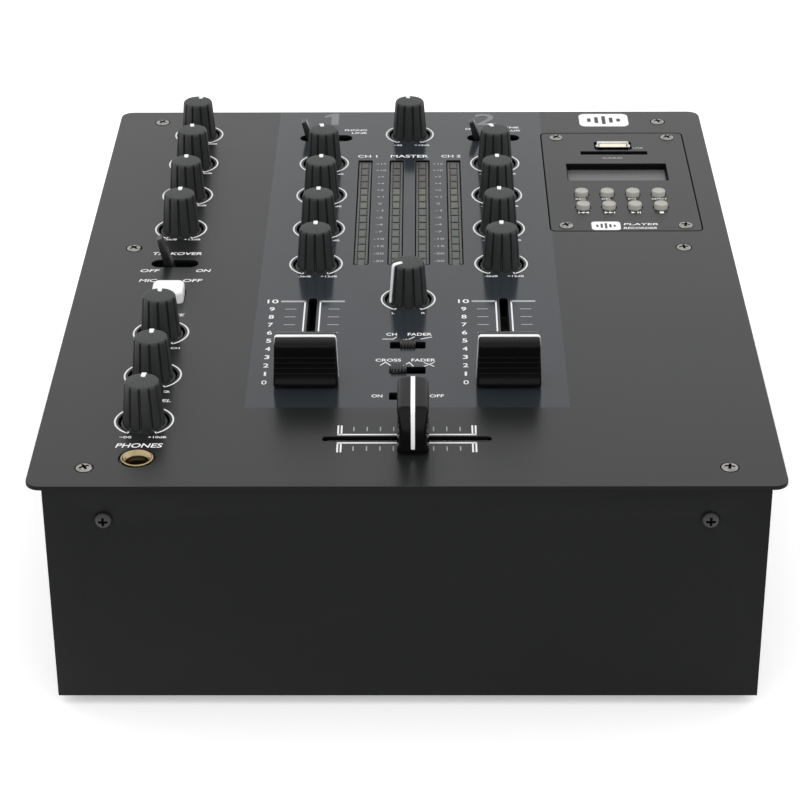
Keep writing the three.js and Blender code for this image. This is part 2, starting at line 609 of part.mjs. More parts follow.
function usbShell() {
  const { width, depth, wall, proud } = USB;
  const bottom = PLAYER_BOARD_TOP - JOINT;
  const y = FRONT + USB.y;
  const shell = box(width, depth, TOP + proud - bottom, PLAYER.x, y, bottom);
  const mouth = box(width - 2 * wall, depth - 2 * wall, USB.mouth + proud + 1, PLAYER.x, y, TOP - USB.mouth);
  const { inset, thickness, offset, top } = USB_TONGUE;
  const tongueBottom = TOP - USB.mouth - JOINT;
  const tongueHeight = USB.mouth + top + JOINT;
  const tongue = box(width - 2 * inset, thickness, tongueHeight, PLAYER.x, y + offset, tongueBottom);
  return join(cut(shell, mouth), tongue);
}

function cardReader() {
  const { width, depth, height, slotWidth, slotDepth } = CARD_READER;
  const y = FRONT + CARD_SLOT.y;
  const body = box(width, depth, height + JOINT, PLAYER.x, y, PLAYER_BOARD_TOP - JOINT);
  return cut(body, box(slotWidth, slotDepth, height, PLAYER.x, y, PLAYER_BOARD_TOP + 1));
}

// The player's circuit board with its display, switches and card reader, hung from the player plate.
function playerBoard() {
  const { x, y, width, depth } = PLAYER;
  const bottom = PLAYER_BOARD_TOP - JOINT;
  const pieces = [usbShell(), cardReader()];
  const { moduleWidth, moduleDepth, recess } = DISPLAY;
  pieces.push(box(moduleWidth, moduleDepth, TOP - recess - bottom, x, FRONT + DISPLAY.y, bottom));
  const { side, height } = PUSH_SWITCH;
  for (const place of playerButtonPlaces()) {
    pieces.push(box(side, side, height + JOINT, place.x, place.y, bottom));
  }
  const postHeight = CASE_TOP - bottom;
  for (const [dx, dy] of CORNERS) {
    const place = { x: x + dx * PLAYER_SCREWS.x, y: FRONT + y + dy * PLAYER_SCREWS.y };
    pieces.push(rod(PLAYER_SCREWS.post, postHeight, 12, place.x, place.y, bottom));
  }
  const board = box(width - 2, depth - 2, BOARD_THICKNESS, x, FRONT + y, PLAYER_BOARD_TOP - BOARD_THICKNESS);
  add("player_board", join(board, ...pieces), BOARD);
}

function powerSupply() {
  const { x, y, width, depth, standoff, post, postInset, core, coil, can } = SUPPLY;
  const floor = FOOT_HEIGHT + CASE_WALL + GAP;
  const boardTop = floor + standoff + BOARD_THICKNESS;
  const [postX, postY] = [width / 2 - postInset, depth / 2 - postInset];
  const postHeight = standoff + JOINT;
  const pieces = CORNERS.map(([dx, dy]) => rod(post, postHeight, 12, x + dx * postX, y + dy * postY, floor));
  pieces.push(box(core.width, core.depth, core.height + JOINT, x, y + core.y, boardTop - JOINT));
  pieces.push(box(coil.width, coil.depth, coil.height, x, y + core.y, boardTop + coil.above));
  for (const side of [-1, 1]) {
    pieces.push(rod(can.r, can.height + JOINT, 16, x + side * can.x, y + can.y, boardTop - JOINT));
  }
  add("power_supply", join(box(width, depth, BOARD_THICKNESS, x, y, floor + standoff), ...pieces), CORE);
}

function rcaBlock() {
  const { columns, pitchX, pitchZ, x: middle, z: centre, ring, pin, block } = RCA;
  const face = CASE_REAR - CASE_WALL - GAP;
  const body = box(columns * pitchX + 2, block, 2 * pitchZ, middle, face - block / 2, centre - pitchZ);
  const start = CASE_REAR - 3;
  const rings = rcaPlaces().map(({ x, z }) => rearwardRod(ring, SOCKET_REACH + 3, 12, x, start, z));
  const bores = rcaPlaces().map(({ x, z }) => rearwardRod(pin, SOCKET_REACH + 4, 8, x, start + 1, z));
  add("rca_block", cut(join(body, ...rings), ...bores), SOCKET_PLASTIC);
}

function micSocket() {
  const { x, z, collar, bore, reach, body: size } = MIC_SOCKET;
  const face = CASE_REAR - CASE_WALL - GAP;
  const body = box(size.width, size.depth, size.height, x, face - size.depth / 2, z - size.height / 2);
  const ring = rearwardRod(collar, reach + 4, 20, x, CASE_REAR - 4, z);
  const boreDepth = size.depth - 4;
  const hole = rearwardRod(bore, boreDepth + 1, 16, x, CASE_REAR + reach - boreDepth, z);
  add("mic_socket", cut(join(body, ring), hole), SOCKET_PLASTIC);
}

// A mains inlet with three pins below a rocker switch, in one snap-in housing.
function powerInlet() {
  const { x, z, width, height, flange, depth, shoulder } = INLET;
  const plate = box(width, flange, height, x, CASE_REAR + flange / 2 + GAP / 2, z - height / 2);
  const [bodyWidth, bodyHeight] = [width - 2 * shoulder, height - 2 * shoulder];
  const body = box(bodyWidth, depth, bodyHeight, x, CASE_REAR - depth / 2 + 1, z - bodyHeight / 2);
  const mouthY = CASE_REAR + flange + GAP - INLET_MOUTH.depth / 2 + 1;
  const mouthZ = z + INLET_MOUTH.z;
  const low = mouthZ - INLET_MOUTH.height / 2;
  const mouth = box(INLET_MOUTH.width, INLET_MOUTH.depth, INLET_MOUTH.height, x, mouthY, low);
  const room = ROCKER.height + 2 * ROCKER.clearance;
  const wellY = CASE_REAR + flange - ROCKER.well / 4;
  const well = box(ROCKER.width, ROCKER.well, room, x, wellY, z + ROCKER.z - room / 2);
  const hollow = cut(join(plate, body), mouth, well);
  const { width: pinWidth, height: pinHeight, shorter, places } = INLET_PIN;
  const pinLength = INLET_MOUTH.depth - shorter;
  const pinY = mouthY - shorter / 2 - 2 * JOINT;
  const pins = places.map(([dx, dz]) => {
    return box(pinWidth, pinLength, pinHeight, x + dx, pinY, mouthZ + dz - pinHeight / 2);
  });
  add("power_inlet", join(hollow, ...pins), SOCKET_PLASTIC);
}

topPlate();
caseTray();
feet();
plateScrews();
knobs();
levers();
faders();
slideSwitches();
micButton();
playerButtons();
powerRocker();
controlBoard();
faderBodies();
meterBlock();
phonesJack();
playerPlate();
playerBoard();
powerSupply();
rcaBlock();
micSocket();
powerInlet();

export default mixer;
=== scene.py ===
import json
from math import cos, hypot, pi, radians, sin

import bmesh
import bpy
from mathutils import Matrix, Vector
from mathutils.geometry import tessellate_polygon


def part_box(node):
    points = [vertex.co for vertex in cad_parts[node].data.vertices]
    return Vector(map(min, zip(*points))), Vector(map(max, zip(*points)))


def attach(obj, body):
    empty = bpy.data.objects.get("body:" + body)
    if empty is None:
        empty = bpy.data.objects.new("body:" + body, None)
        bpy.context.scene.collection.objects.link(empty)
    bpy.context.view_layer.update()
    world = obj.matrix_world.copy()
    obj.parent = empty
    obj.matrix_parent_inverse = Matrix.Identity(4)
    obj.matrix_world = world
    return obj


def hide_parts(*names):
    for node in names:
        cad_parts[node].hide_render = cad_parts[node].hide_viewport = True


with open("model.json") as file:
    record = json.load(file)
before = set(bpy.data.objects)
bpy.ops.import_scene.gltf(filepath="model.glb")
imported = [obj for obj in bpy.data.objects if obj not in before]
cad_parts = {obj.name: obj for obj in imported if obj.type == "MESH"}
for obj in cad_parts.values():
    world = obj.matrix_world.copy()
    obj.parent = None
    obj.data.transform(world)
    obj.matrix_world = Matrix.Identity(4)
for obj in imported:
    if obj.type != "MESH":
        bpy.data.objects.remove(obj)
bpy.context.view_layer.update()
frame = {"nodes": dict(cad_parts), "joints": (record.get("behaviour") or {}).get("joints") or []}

MM = 0.001
SHARP_ANGLE = radians(35)
FLAT_ANGLE = radians(0.5)


# ---------- the frame, in millimetres ----------
def node_box(name):
    low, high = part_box(name)
    return low / MM, high / MM


def node_middle(name):
    low, high = node_box(name)
    return (low + high) / 2


def pivot(name):
    return Vector(JOINTS[name]["pos_m"]) / MM


JOINTS = {joint["child"]: joint for joint in frame["joints"]}
KNOBS = [name for name in frame["nodes"] if "_knob" in name]
PLATE_LOW, PLATE_HIGH = node_box("top_plate")
PLATE_THICKNESS = PLATE_HIGH.z - PLATE_LOW.z
FRONT = PLATE_LOW.y
TOP = PLATE_HIGH.z
ON_TOP = (0, 0, TOP)
CASE_LOW, CASE_HIGH = node_box("case_tray")
REAR = CASE_HIGH.y
MIC_X = node_middle("phones_level_knob").x
CHANNEL_X = node_middle("fader_cap_2").x
CROSS_Y = node_middle("crossfader_cap").y
FADER_ZERO = node_middle("fader_cap_1").y
FADER_TRAVEL = JOINTS["fader_cap_1"]["range_m"][1] / MM
PLAYER_LOW, PLAYER_HIGH = node_box("player_plate")
PLAYER_MIDDLE = (PLAYER_LOW + PLAYER_HIGH) / 2
PLAYER_SIZE = PLAYER_HIGH - PLAYER_LOW

# Cut-outs of the plate, as the CAD plate has them.
KNOB_HOLE = 8.85
LEVER_SLOTS = {"talkover_lever": 18, "source_lever_1": 22.4, "source_lever_2": 22.4}
LEVER_SLOT_DEPTH = 6.4
FADER_SLOT = (3.2, 70)
CROSS_SLOT = (58, 3.2)
SWITCHES = ("fader_curve_switch", "crossfader_curve_switch", "crossfader_switch")
SWITCH_SLOT = (12.8, 5.1)
METER_XS = (-18.6, -5.3, 5.4, 18.5)
METER_WINDOW = (5.8, 100.8)
BUTTON_HOLE = 12.7
JACK_HOLE = 6.2
PLAYER_GAP = 0.4
SCREW_HOLE = 3.15
CASE_SCREW_X = 101.5
CASE_SCREW_Z = 75.8
PLATE_CORNER = 5
PLAYER_CORNER = 2.2
METER_Y = FRONT + 218.3
PLATE_SCREWS = [name for name in frame["nodes"] if name.startswith("plate_screw")]
PLAYER_SCREWS = [(dx * 23.9, dy * 44.6) for dy in (-1, 1) for dx in (-1, 1)]
PLAYER_BUTTONS = [f"{name}_button" for name in
                  ("record", "delete", "equaliser", "repeat", "previous", "next", "play", "stop")]
USB_Y = 283.9
CARD_Y = 276.2
DISPLAY_Y = 256.3
ROCKER_TILT = radians(8)


# ---------- materials ----------
class Look:
    """A procedural material: fine grain in the bump, slow changes in colour and roughness."""

    def __init__(self, name, colour, roughness, metallic=0.0, specular=0.5):
        self.material = bpy.data.materials.new(name)
        self.material.use_nodes = True
        self.nodes = self.material.node_tree.nodes
        self.links = self.material.node_tree.links
        self.shader = self.nodes["Principled BSDF"]
        self.colour = (*colour, 1)
        self.roughness = roughness
        start = {"Base Color": self.colour, "Roughness": roughness, "Metallic": metallic}
        for socket, value in {**start, "Specular IOR Level": specular}.items():
            self.shader.inputs[socket].default_value = value
        self.coordinates = self.nodes.new("ShaderNodeTexCoord").outputs["Object"]

    def noise(self, size, detail=2.0, stretch=(1, 1, 1)):
        """A noise pattern whose features are about that many millimetres across."""
        mapping = self.nodes.new("ShaderNodeMapping")
        mapping.inputs["Scale"].default_value = stretch
        self.links.new(self.coordinates, mapping.inputs["Vector"])
        noise = self.nodes.new("ShaderNodeTexNoise")
        noise.inputs["Scale"].default_value = 1 / (size * MM)
        noise.inputs["Detail"].default_value = detail
        self.links.new(mapping.outputs["Vector"], noise.inputs["Vector"])
        return noise.outputs["Fac"]

    def remap(self, value, low, high, start=0.3, end=0.7):
        ramp = self.nodes.new("ShaderNodeMapRange")
        limits = {"From Min": start, "From Max": end, "To Min": low, "To Max": high}
        for socket, limit in limits.items():
            ramp.inputs[socket].default_value = limit
        self.links.new(value, ramp.inputs["Value"])
        return ramp.outputs["Result"]

    def math(self, operation, first, second=0.0):
        node = self.nodes.new("ShaderNodeMath")
        node.operation = operation
        self.fill(node.inputs[0], first)
        self.fill(node.inputs[1], second)
        return node.outputs["Value"]

    def mix(self, factor, first, second):
        node = self.nodes.new("ShaderNodeMix")
        node.data_type = "RGBA"
        self.links.new(factor, node.inputs[0])
        self.fill(node.inputs[6], first)
        self.fill(node.inputs[7], second)
        return node.outputs[2]

    def fill(self, socket, value):
        if isinstance(value, bpy.types.NodeSocket):
            self.links.new(value, socket)
        else:
            socket.default_value = value

    def grain(self, size, height, detail=2.0, stretch=(1, 1, 1)):
        """Bumps of that height in millimetres; several calls add up."""
        bump = self.nodes.new("ShaderNodeBump")
        bump.inputs["Distance"].default_value = height * MM
        self.links.new(self.noise(size, detail, stretch), bump.inputs["Height"])
        for link in self.shader.inputs["Normal"].links:
            self.links.new(link.from_socket, bump.inputs["Normal"])
        self.links.new(bump.outputs["Normal"], self.shader.inputs["Normal"])
        return self

    def vary(self, size, amount, roughness_amount, stretch=(1, 1, 1)):
        """Slow changes: the colour by a share of itself, the roughness by an absolute amount."""
        pattern = self.noise(size, 4.0, stretch)
        dark = (*(part * (1 - amount) for part in self.colour[:3]), 1)
        light = (*(min(1, part * (1 + amount)) for part in self.colour[:3]), 1)
        colour = self.mix(self.remap(pattern, 0, 1), dark, light)
        self.links.new(colour, self.shader.inputs["Base Color"])
        rough = self.remap(pattern, self.roughness - roughness_amount, self.roughness + roughness_amount)
        self.links.new(rough, self.shader.inputs["Roughness"])
        return self

    def inside(self, x_limit, y_low, y_high):
        """1 inside a rectangle that is centred on x, in millimetres of the row frame, and 0 outside."""
        split = self.nodes.new("ShaderNodeSeparateXYZ")
        self.links.new(self.coordinates, split.inputs["Vector"])
        across = self.math("LESS_THAN", self.math("ABSOLUTE", split.outputs["X"]), x_limit * MM)
        behind = self.math("GREATER_THAN", split.outputs["Y"], y_low * MM)
        before = self.math("LESS_THAN", split.outputs["Y"], y_high * MM)
        return self.math("MULTIPLY", across, self.math("MULTIPLY", behind, before))


def plate_paint(name, colour):
    return Look(name, colour, PLATE_ROUGHNESS, specular=PLATE_SHEEN).vary(60, 0.12, 0.03).grain(0.45, 0.010)


PANEL_HALF_WIDTH = 57
PANEL_START = FRONT + 53.8
PANEL_COLOUR = (0.0245, 0.0300, 0.0365, 1)
PANEL_ROUGHNESS = 0.14
PLATE_ROUGHNESS = 0.3
PLATE_SHEEN = 0.34


def top_plate_paint():
    """Dark satin paint with a glossier blue-grey field printed in the middle."""
    look = plate_paint("plate paint", (0.0130, 0.0140, 0.0136))
    field = look.inside(PANEL_HALF_WIDTH, PANEL_START, PLATE_HIGH.y - 0.3)
    base, rough = look.shader.inputs["Base Color"], look.shader.inputs["Roughness"]
    colour = look.mix(field, base.links[0].from_socket, PANEL_COLOUR)
    ink = look.math("MULTIPLY", field, PANEL_ROUGHNESS)
    paint = look.math("MULTIPLY", rough.links[0].from_socket, look.math("SUBTRACT", 1, field))
    look.links.new(colour, base)
    look.links.new(look.math("ADD", ink, paint), rough)
    return look.material


def plain(name, colour, roughness, metallic=0.0, specular=0.5, grain=0.4, height=0.006, size=25, amount=0.1):
    look = Look(name, colour, roughness, metallic, specular)
    return look.vary(size, amount, min(0.05, roughness / 4)).grain(grain, height).material


def ink_look(name, colour, roughness, amount):
    return plain(name, colour, roughness, grain=0.3, height=0.003, amount=amount)


def brushed(name, colour, roughness, stretch=(1, 30, 30)):
    look = Look(name, colour, roughness, 1.0)
    return look.vary(18, 0.12, 0.06).grain(1.5, 0.004, 3, stretch).material


def frosted(name, colour):
    look = Look(name, colour, 0.42)
    look.shader.inputs["Subsurface Weight"].default_value = 0.2
    look.shader.inputs["Subsurface Scale"].default_value = 2 * MM
    return look.vary(7, 0.16, 0.05).grain(0.8, 0.01).material


def circuit_board_look():
    """Green solder mask with lighter tracks."""
    look = Look("circuit board", (0.012, 0.075, 0.03), 0.35)
    tracks = look.remap(look.noise(5, 0, (1, 4, 1)), 0, 1, 0.52, 0.56)
    look.links.new(look.mix(tracks, look.colour, (0.02, 0.13, 0.055, 1)), look.shader.inputs["Base Color"])
    return look.grain(3, 0.02, 0, (1, 4, 1)).material


PLATE_PAINT = top_plate_paint()
PLAYER_PAINT = plate_paint("player plate paint", (0.0135, 0.0145, 0.0142)).material
# Painted shade: a darker, duller copy of the plate paint for the walls and lower edges of both plates, where
# less light falls.
PLATE_EDGE_SHADE = plain("plate edge painted shade", (0.0050, 0.0050, 0.0052), 0.45, specular=0.12, height=0.008)
CASE_PAINT = plain("case paint", (0.0058, 0.0063, 0.0061), 0.42, 0, 0.11, grain=0.5, height=0.02, size=70)
WHITE_INK = ink_look("white ink", (0.93, 0.93, 0.93), 0.5, 0.03)
GREY_INK = ink_look("grey ink", (0.17, 0.18, 0.185), 0.4, 0.05)
PALE_INK = ink_look("pale ink", (0.40, 0.41, 0.42), 0.4, 0.05)
KNOB_RUBBER = plain("knob rubber", (0.0180, 0.0190, 0.0192), 0.5, specular=0.5, height=0.03, amount=0.15)
KNOB_TOP = plain("knob top", (0.0420, 0.0435, 0.0440), 0.6, 0, 0.4, 0.6, height=0.12, size=0.6, amount=0.5)
CAP_GLOSS = plain("cap gloss black", (0.0040, 0.0042, 0.0040), 0.16, specular=0.13, grain=1.2)
LEVER_BLACK = plain("lever black", (0.007, 0.007, 0.0075), 0.26, height=0.008)
SWITCH_BLACK = plain("switch black", (0.0070, 0.0070, 0.0075), 0.26, height=0.008)
# Near-black plastic for real dark parts, and also painted shade: it blackens the insides of screw recesses,
# the faders' groove walls and slots, and the edges of the meter lamps.
DARK_PLASTIC_AND_SHADE = plain("dark plastic and painted shade", (0.0025, 0.0025, 0.0026), 0.6, specular=0.08, height=0.01)
GREY_PLASTIC = plain("grey plastic", (0.43, 0.425, 0.38), 0.5, height=0.012, size=6, amount=0.08)
WHITE_PLASTIC = plain("white plastic", (0.96, 0.96, 0.97), 0.28, grain=0.8, height=0.004, amount=0.02)
METER_BAR = frosted("meter bar", (0.072, 0.074, 0.068))
LAMP_GREEN = frosted("unlit green lamp", (0.080, 0.088, 0.076))
LAMP_AMBER = frosted("unlit amber lamp", (0.118, 0.114, 0.086))
LAMP_RED = frosted("unlit red lamp", (0.076, 0.060, 0.056))
# Partly painted light: the window's grey is lighter than the screen itself, to make up for the shade of its
# deep recess.
DISPLAY_GLASS_AND_PAINTED_LIGHT = plain("display glass and painted light", (0.118, 0.122, 0.119), 0.35, grain=2, height=0.002, size=30)
STEEL = brushed("plated steel", (0.62, 0.61, 0.58), 0.3)
SCREW_STEEL = plain("screw steel", (0.32, 0.31, 0.29), 0.3, 1.0, grain=0.25, height=0.01, size=3, amount=0.3)
SCREW_BLACK = plain("black screw", (0.012, 0.012, 0.012), 0.32, grain=0.3, height=0.01)
BRASS = plain("jack brass", (0.42, 0.33, 0.19), 0.2, 1.0, grain=0.6, height=0.003, size=4, amount=0.25)
# Painted shade: a dark brown copy of the brass for the jack's throat, where the bore lies in shadow.
BRASS_PAINTED_SHADE = plain("jack throat painted shade", (0.07, 0.055, 0.035), 0.35, 1.0, grain=0.6, height=0.003, size=4)
NICKEL = plain("nickel", (0.70, 0.69, 0.66), 0.2, 1.0, grain=0.6, height=0.003, size=5)
CREAM = plain("cream plastic", (0.92, 0.87, 0.70), 0.4, height=0.004, amount=0.05)
SOCKET_BLACK = plain("socket plastic", (0.010, 0.010, 0.010), 0.38, height=0.012)
SOCKET_RED = plain("socket red", (0.42, 0.018, 0.015), 0.4, height=0.008)
SOCKET_WHITE = plain("socket white", (0.75, 0.74, 0.70), 0.4, height=0.008, amount=0.04)
FOOT_RUBBER = plain("foot rubber", (0.010, 0.010, 0.010), 0.8, specular=0.25, grain=0.6, height=0.04)
CORE = brushed("transformer core", (0.20, 0.21, 0.22), 0.45, (1, 1, 40))
BOARD = circuit_board_look()


# ---------- outlines: functions of how far they grow ----------
def turns(sides):
    return [2 * pi * i / sides for i in range(sides)]


def circle(x, y, r, sides=48):
    return lambda grow: [(x + (r + grow) * cos(t), y + (r + grow) * sin(t)) for t in turns(sides)]


def rounded(x, y, width, depth, r, steps=6):
    """A rectangle with round corners, counterclockwise; its corners stay concentric as it grows."""

    def outline(grow):
        radius = max(r + grow, 0.02)
        w, d = width / 2 + grow - radius, depth / 2 + grow - radius
        points = []
        for quarter, (side_x, side_y) in enumerate([(1, 1), (-1, 1), (-1, -1), (1, -1)]):
            for step in range(steps + 1):
                t = (quarter + step / steps) * pi / 2
                points.append((x + side_x * w + radius * cos(t), y + side_y * d + radius * sin(t)))
        return points

    return outline


def stadium(x, y, width, depth):
    """A slot with round ends; the corners stop just short of meeting."""
    return rounded(x, y, width, depth, min(width, depth) / 2 - 0.02, 10)


# ---------- solids ----------
CAP_INSET = 0.12
# A rounded edge: the share of the bevel inwards, and the share downwards.
ROUNDING = ((1, 0), (0.5, 0.13), (0.13, 0.5), (0, 1))
# Across a ridge: the place from -1 to 1, and the share of its height.
RIDGE = ((-1, 0.35), (-0.85, 0.7), (-0.5, 0.94), (0, 1), (0.5, 0.94), (0.85, 0.7), (1, 0.35))
RIDGE_ROOT = 0.3
INK_BOTTOM = -0.02
INK_TOP = 0.03


class Shape:
    """Points and faces, in millimetres, that are gathered from several solids into one piece."""

    def __init__(self):
        self.points = []
        self.faces = []

    def add(self, points, faces, look=0):
        start = len(self.points)
        self.points += [Vector(point) for point in points]
        self.faces += [([start + i for i in face], look) for face in faces]
        return self

    def rings(self, rings, look=0, capped=True, looped=False):
        """A skin over rings of equally many points, with its ends capped or joined to each other."""
        sides, count = len(rings[0]), len(rings)
        faces = []
        for i in range(count if looped else count - 1):
            low, high = i * sides, (i + 1) % count * sides
            for j in range(sides):
                k = (j + 1) % sides
                faces.append([low + j, low + k, high + k, high + j])
        if capped and not looped:
            faces.append(list(range(sides))[::-1])
            faces.append([(count - 1) * sides + j for j in range(sides)])
        return self.add([point for ring in rings for point in ring], faces, look)

    def turned(self, profile, sides=48, look=0, looped=False, at=(0, 0, 0)):
        """A solid of revolution about the vertical axis, from [radius, height] pairs."""
        x, y, z = at
        rings = [[(x + r * cos(t), y + r * sin(t), z + h) for t in turns(sides)] for r, h in profile]
        return self.rings(rings, look, looped=looped)

    def stack(self, outline, levels, look=0):
        """An outline repeated at levels of [growth, height]; both ends stay flat up to their edges."""
        (first, bottom), (last, top) = levels[0], levels[-1]
        levels = [(first - CAP_INSET, bottom), *levels, (last - CAP_INSET, top)]
        return self.rings([[(x, y, z) for x, y in outline(grow)] for grow, z in levels], look)

    def block(self, width, depth, height, at=(0, 0, 0), bevel=0.25, look=0, corner=None):
        """A box with softened edges that stands on its place."""
        x, y, z = at
        soft = [(1, 0), (0.3, 0.3), (0, 1)]
        levels = [(-bevel * out, z + bevel * up) for out, up in soft]
        levels += [(-bevel * out, z + height - bevel * up) for out, up in soft[::-1]]
        return self.stack(rounded(x, y, width, depth, corner or bevel, 4), levels, look)

    def sheet(self, outline, holes, thickness, top=0.0, bevel=0.25, look=0, edge=0):
        """A flat sheet with holes; its upper edges are rounded over, its lower ones broken."""
        foot = top - thickness
        broken = min(0.15, thickness / 4)
        curve = [(bevel * share, top - bevel * drop) for share, drop in ROUNDING]
        levels = [(bevel + CAP_INSET, top), *curve, (0, foot + broken), (broken, foot)]
        levels.append((broken + CAP_INSET, foot))
        tops, bottoms = [], []
        for side, loop in [(-1, outline)] + [(1, hole) for hole in holes]:
            rings = [[Vector((x, y, z)) for x, y in loop(side * grow)] for grow, z in levels]
            self.rings(rings[:3], look, capped=False)
            # The rest of the rounding, the walls and the lower edges take the edge look; on the two plates
            # that look is painted shade.
            self.rings(rings[2:], edge, capped=False)
            tops.append(rings[0])
            bottoms.append(rings[-1])
        for loops in (tops, bottoms):
            points = [point for loop in loops for point in loop]
            self.add(points, [list(corner) for corner in tessellate_polygon(loops)], look)
        return self

    def ribbon(self, path, width, look=0, height=(INK_BOTTOM, INK_TOP)):
        """A flat line of ink along points of a plane."""
        left, right = [], []
        for i, (x, y) in enumerate(path):
            before, after = path[max(i - 1, 0)], path[min(i + 1, len(path) - 1)]
            ends = [(Vector(path[i]) - Vector(before)), (Vector(after) - Vector(path[i]))]
            sides = [Vector((-way.y, way.x)).normalized() for way in ends if way.length > 0]
            across = sum(sides, Vector((0, 0))).normalized()
            reach = width / 2 / max(across.dot(sides[0]), 0.3)
            left.append((x + across.x * reach, y + across.y * reach))
            right.append((x - across.x * reach, y - across.y * reach))
        low, high = height
        rings = [[(*a, low), (*a, high), (*b, high), (*b, low)] for a, b in zip(left, right)]
        return self.rings(rings, look)

    def ridge(self, path, width, proud):
        """A raised strip with a rounded back along (distance, height, share of the width) in the XZ plane."""
        section = [(-1, -RIDGE_ROOT), *((side, proud * share) for side, share in RIDGE), (1, -RIDGE_ROOT)]
        rings = []
        for i, (distance, z, share) in enumerate(path):
            before, after = path[max(i - 1, 0)], path[min(i + 1, len(path) - 1)]
            run, rise = after[0] - before[0], after[1] - before[1]
            length = hypot(run, rise)
            half = width / 2 * share
            rings.append([(distance - rise / length * out, side * half, z + run / length * out)
                          for side, out in section])
        return self.rings(rings)

    def moved(self, matrix):
        self.points = [matrix @ point for point in self.points]
        return self

    def made(self, name, looks, slot, *nodes, body="root", at=(0, 0, 0)):
        """The piece as an object that rides on its body and stands for the CAD nodes that are named."""
        copy_of(self.mesh(name, looks), name, body, slot, *nodes, at=at)

    def mesh(self, name, looks):
        mesh = bpy.data.meshes.new(name)
        mesh.from_pydata([point * MM for point in self.points], [], [face for face, _ in self.faces])
        for look in looks if isinstance(looks, list) else [looks]:
            mesh.materials.append(look)
        for polygon, (_, look) in zip(mesh.polygons, self.faces):
            polygon.material_index = look
        tidy_mesh(mesh)
        return mesh


def tidy_mesh(mesh):
    """Joins doubled points, turns every face outwards and shades all but sharp edges smoothly."""
    grid = bmesh.new()
    grid.from_mesh(mesh)
    bmesh.ops.remove_doubles(grid, verts=grid.verts, dist=1e-7)
    bmesh.ops.recalc_face_normals(grid, faces=grid.faces)
    grid.to_mesh(mesh)
    grid.free()
    for polygon in mesh.polygons:
        polygon.use_smooth = True
    mesh.set_sharp_from_angle(angle=SHARP_ANGLE)


def linked(name, data):
    """A new object in the scene."""
    piece = bpy.data.objects.new(name, data)
    bpy.context.scene.collection.objects.link(piece)
    return piece


def copy_of(mesh, name, body, slot, *nodes, at=(0, 0, 0), turn=0.0):
    """An object with that mesh, placed in millimetres and turned about its vertical axis."""
    piece = linked(name, mesh)
    piece.location = Vector(at) * MM
    piece.rotation_euler.z = turn
    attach(piece, body)
    if nodes:
        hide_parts(*nodes)


def on_node(mesh, node, kind, slot, body=None, z=TOP, turn=0.0):
    """A copy of a mesh at a CAD node's place, as the look of that node."""
    x, y = node_middle(node).xy
    copy_of(mesh, f"{node}_{kind}", body or node, slot, node, at=(x, y, z), turn=turn)


def over_node(mesh, node, kind, turn):
    """White print that rides on the look of a CAD node."""
    x, y = node_middle(node).xy
    copy_of(mesh, f"{node}_{kind}", node, "print_white", at=(x, y, TOP), turn=turn)


def carved(mesh, tool):
    """The mesh less another one, by an exact boolean."""
    piece, cutter = linked("work", mesh), linked("work", tool)
    carve = piece.modifiers.new("carve", "BOOLEAN")
    carve.object = cutter
    carve.solver = "EXACT"
    carve.material_mode = "TRANSFER"
    result = bpy.data.meshes.new_from_object(piece.evaluated_get(bpy.context.evaluated_depsgraph_get()))
    bpy.data.objects.remove(piece)
    bpy.data.objects.remove(cutter)
    tidy_mesh(result)
    return result


LETTER_WIDTH = 1.2
LETTER_WEIGHT = 0.012


def words(shape, text, x, y, height, width=None, slant=0.0, look=0):
    """Plain lettering of that height, centred on its place, stretched to the width if one is given."""
    curve = bpy.data.curves.new("words", "FONT")
    curve.body = text
    curve.extrude = 0.1
    curve.offset = LETTER_WEIGHT
    piece = linked("words", curve)
    mesh = bpy.data.meshes.new_from_object(piece.evaluated_get(bpy.context.evaluated_depsgraph_get()))
    bpy.data.objects.remove(piece)
    places = [vertex.co for vertex in mesh.vertices]
    low = Vector([min(place[i] for place in places) for i in range(3)])
    high = Vector([max(place[i] for place in places) for i in range(3)])
    scale_y = height / (high.y - low.y)
    scale_x = width / (high.x - low.x) if width else scale_y * LETTER_WIDTH
    points = []
    for place in places:
        across = (place.x - (low.x + high.x) / 2) * scale_x
        up = (place.y - (low.y + high.y) / 2) * scale_y
        points.append((x + across + slant * up, y + up, INK_TOP if place.z > 0 else INK_BOTTOM))
    return shape.add(points, [list(polygon.vertices) for polygon in mesh.polygons], look)


# ---------- plate and case ----------
def grid_y(distance):
    """The row frame's y at a distance from the front edge of the plate."""
    return FRONT + distance


def plate_holes():
    holes = [circle(*pivot(name).xy, KNOB_HOLE) for name in KNOBS]
    holes += [stadium(*pivot(name).xy, width, LEVER_SLOT_DEPTH) for name, width in LEVER_SLOTS.items()]
    holes += [stadium(side * CHANNEL_X, FADER_ZERO + FADER_TRAVEL / 2, *FADER_SLOT) for side in (-1, 1)]
    holes.append(stadium(0, CROSS_Y, *CROSS_SLOT))
    holes += [rounded(0, node_middle(name).y, *SWITCH_SLOT, 0.5) for name in SWITCHES]
    holes += [rounded(x, METER_Y, *METER_WINDOW, 0.6) for x in METER_XS]
    holes.append(rounded(*node_middle("mic_button").xy, BUTTON_HOLE, BUTTON_HOLE, 2))
    holes.append(circle(*node_middle("phones_jack").xy, JACK_HOLE))
    holes += [circle(*node_middle(name).xy, SCREW_HOLE) for name in PLATE_SCREWS]
    width, depth = (side + 2 * PLAYER_GAP for side in PLAYER_SIZE.xy)
    holes.append(rounded(*PLAYER_MIDDLE.xy, width, depth, PLAYER_CORNER + PLAYER_GAP))
    return holes


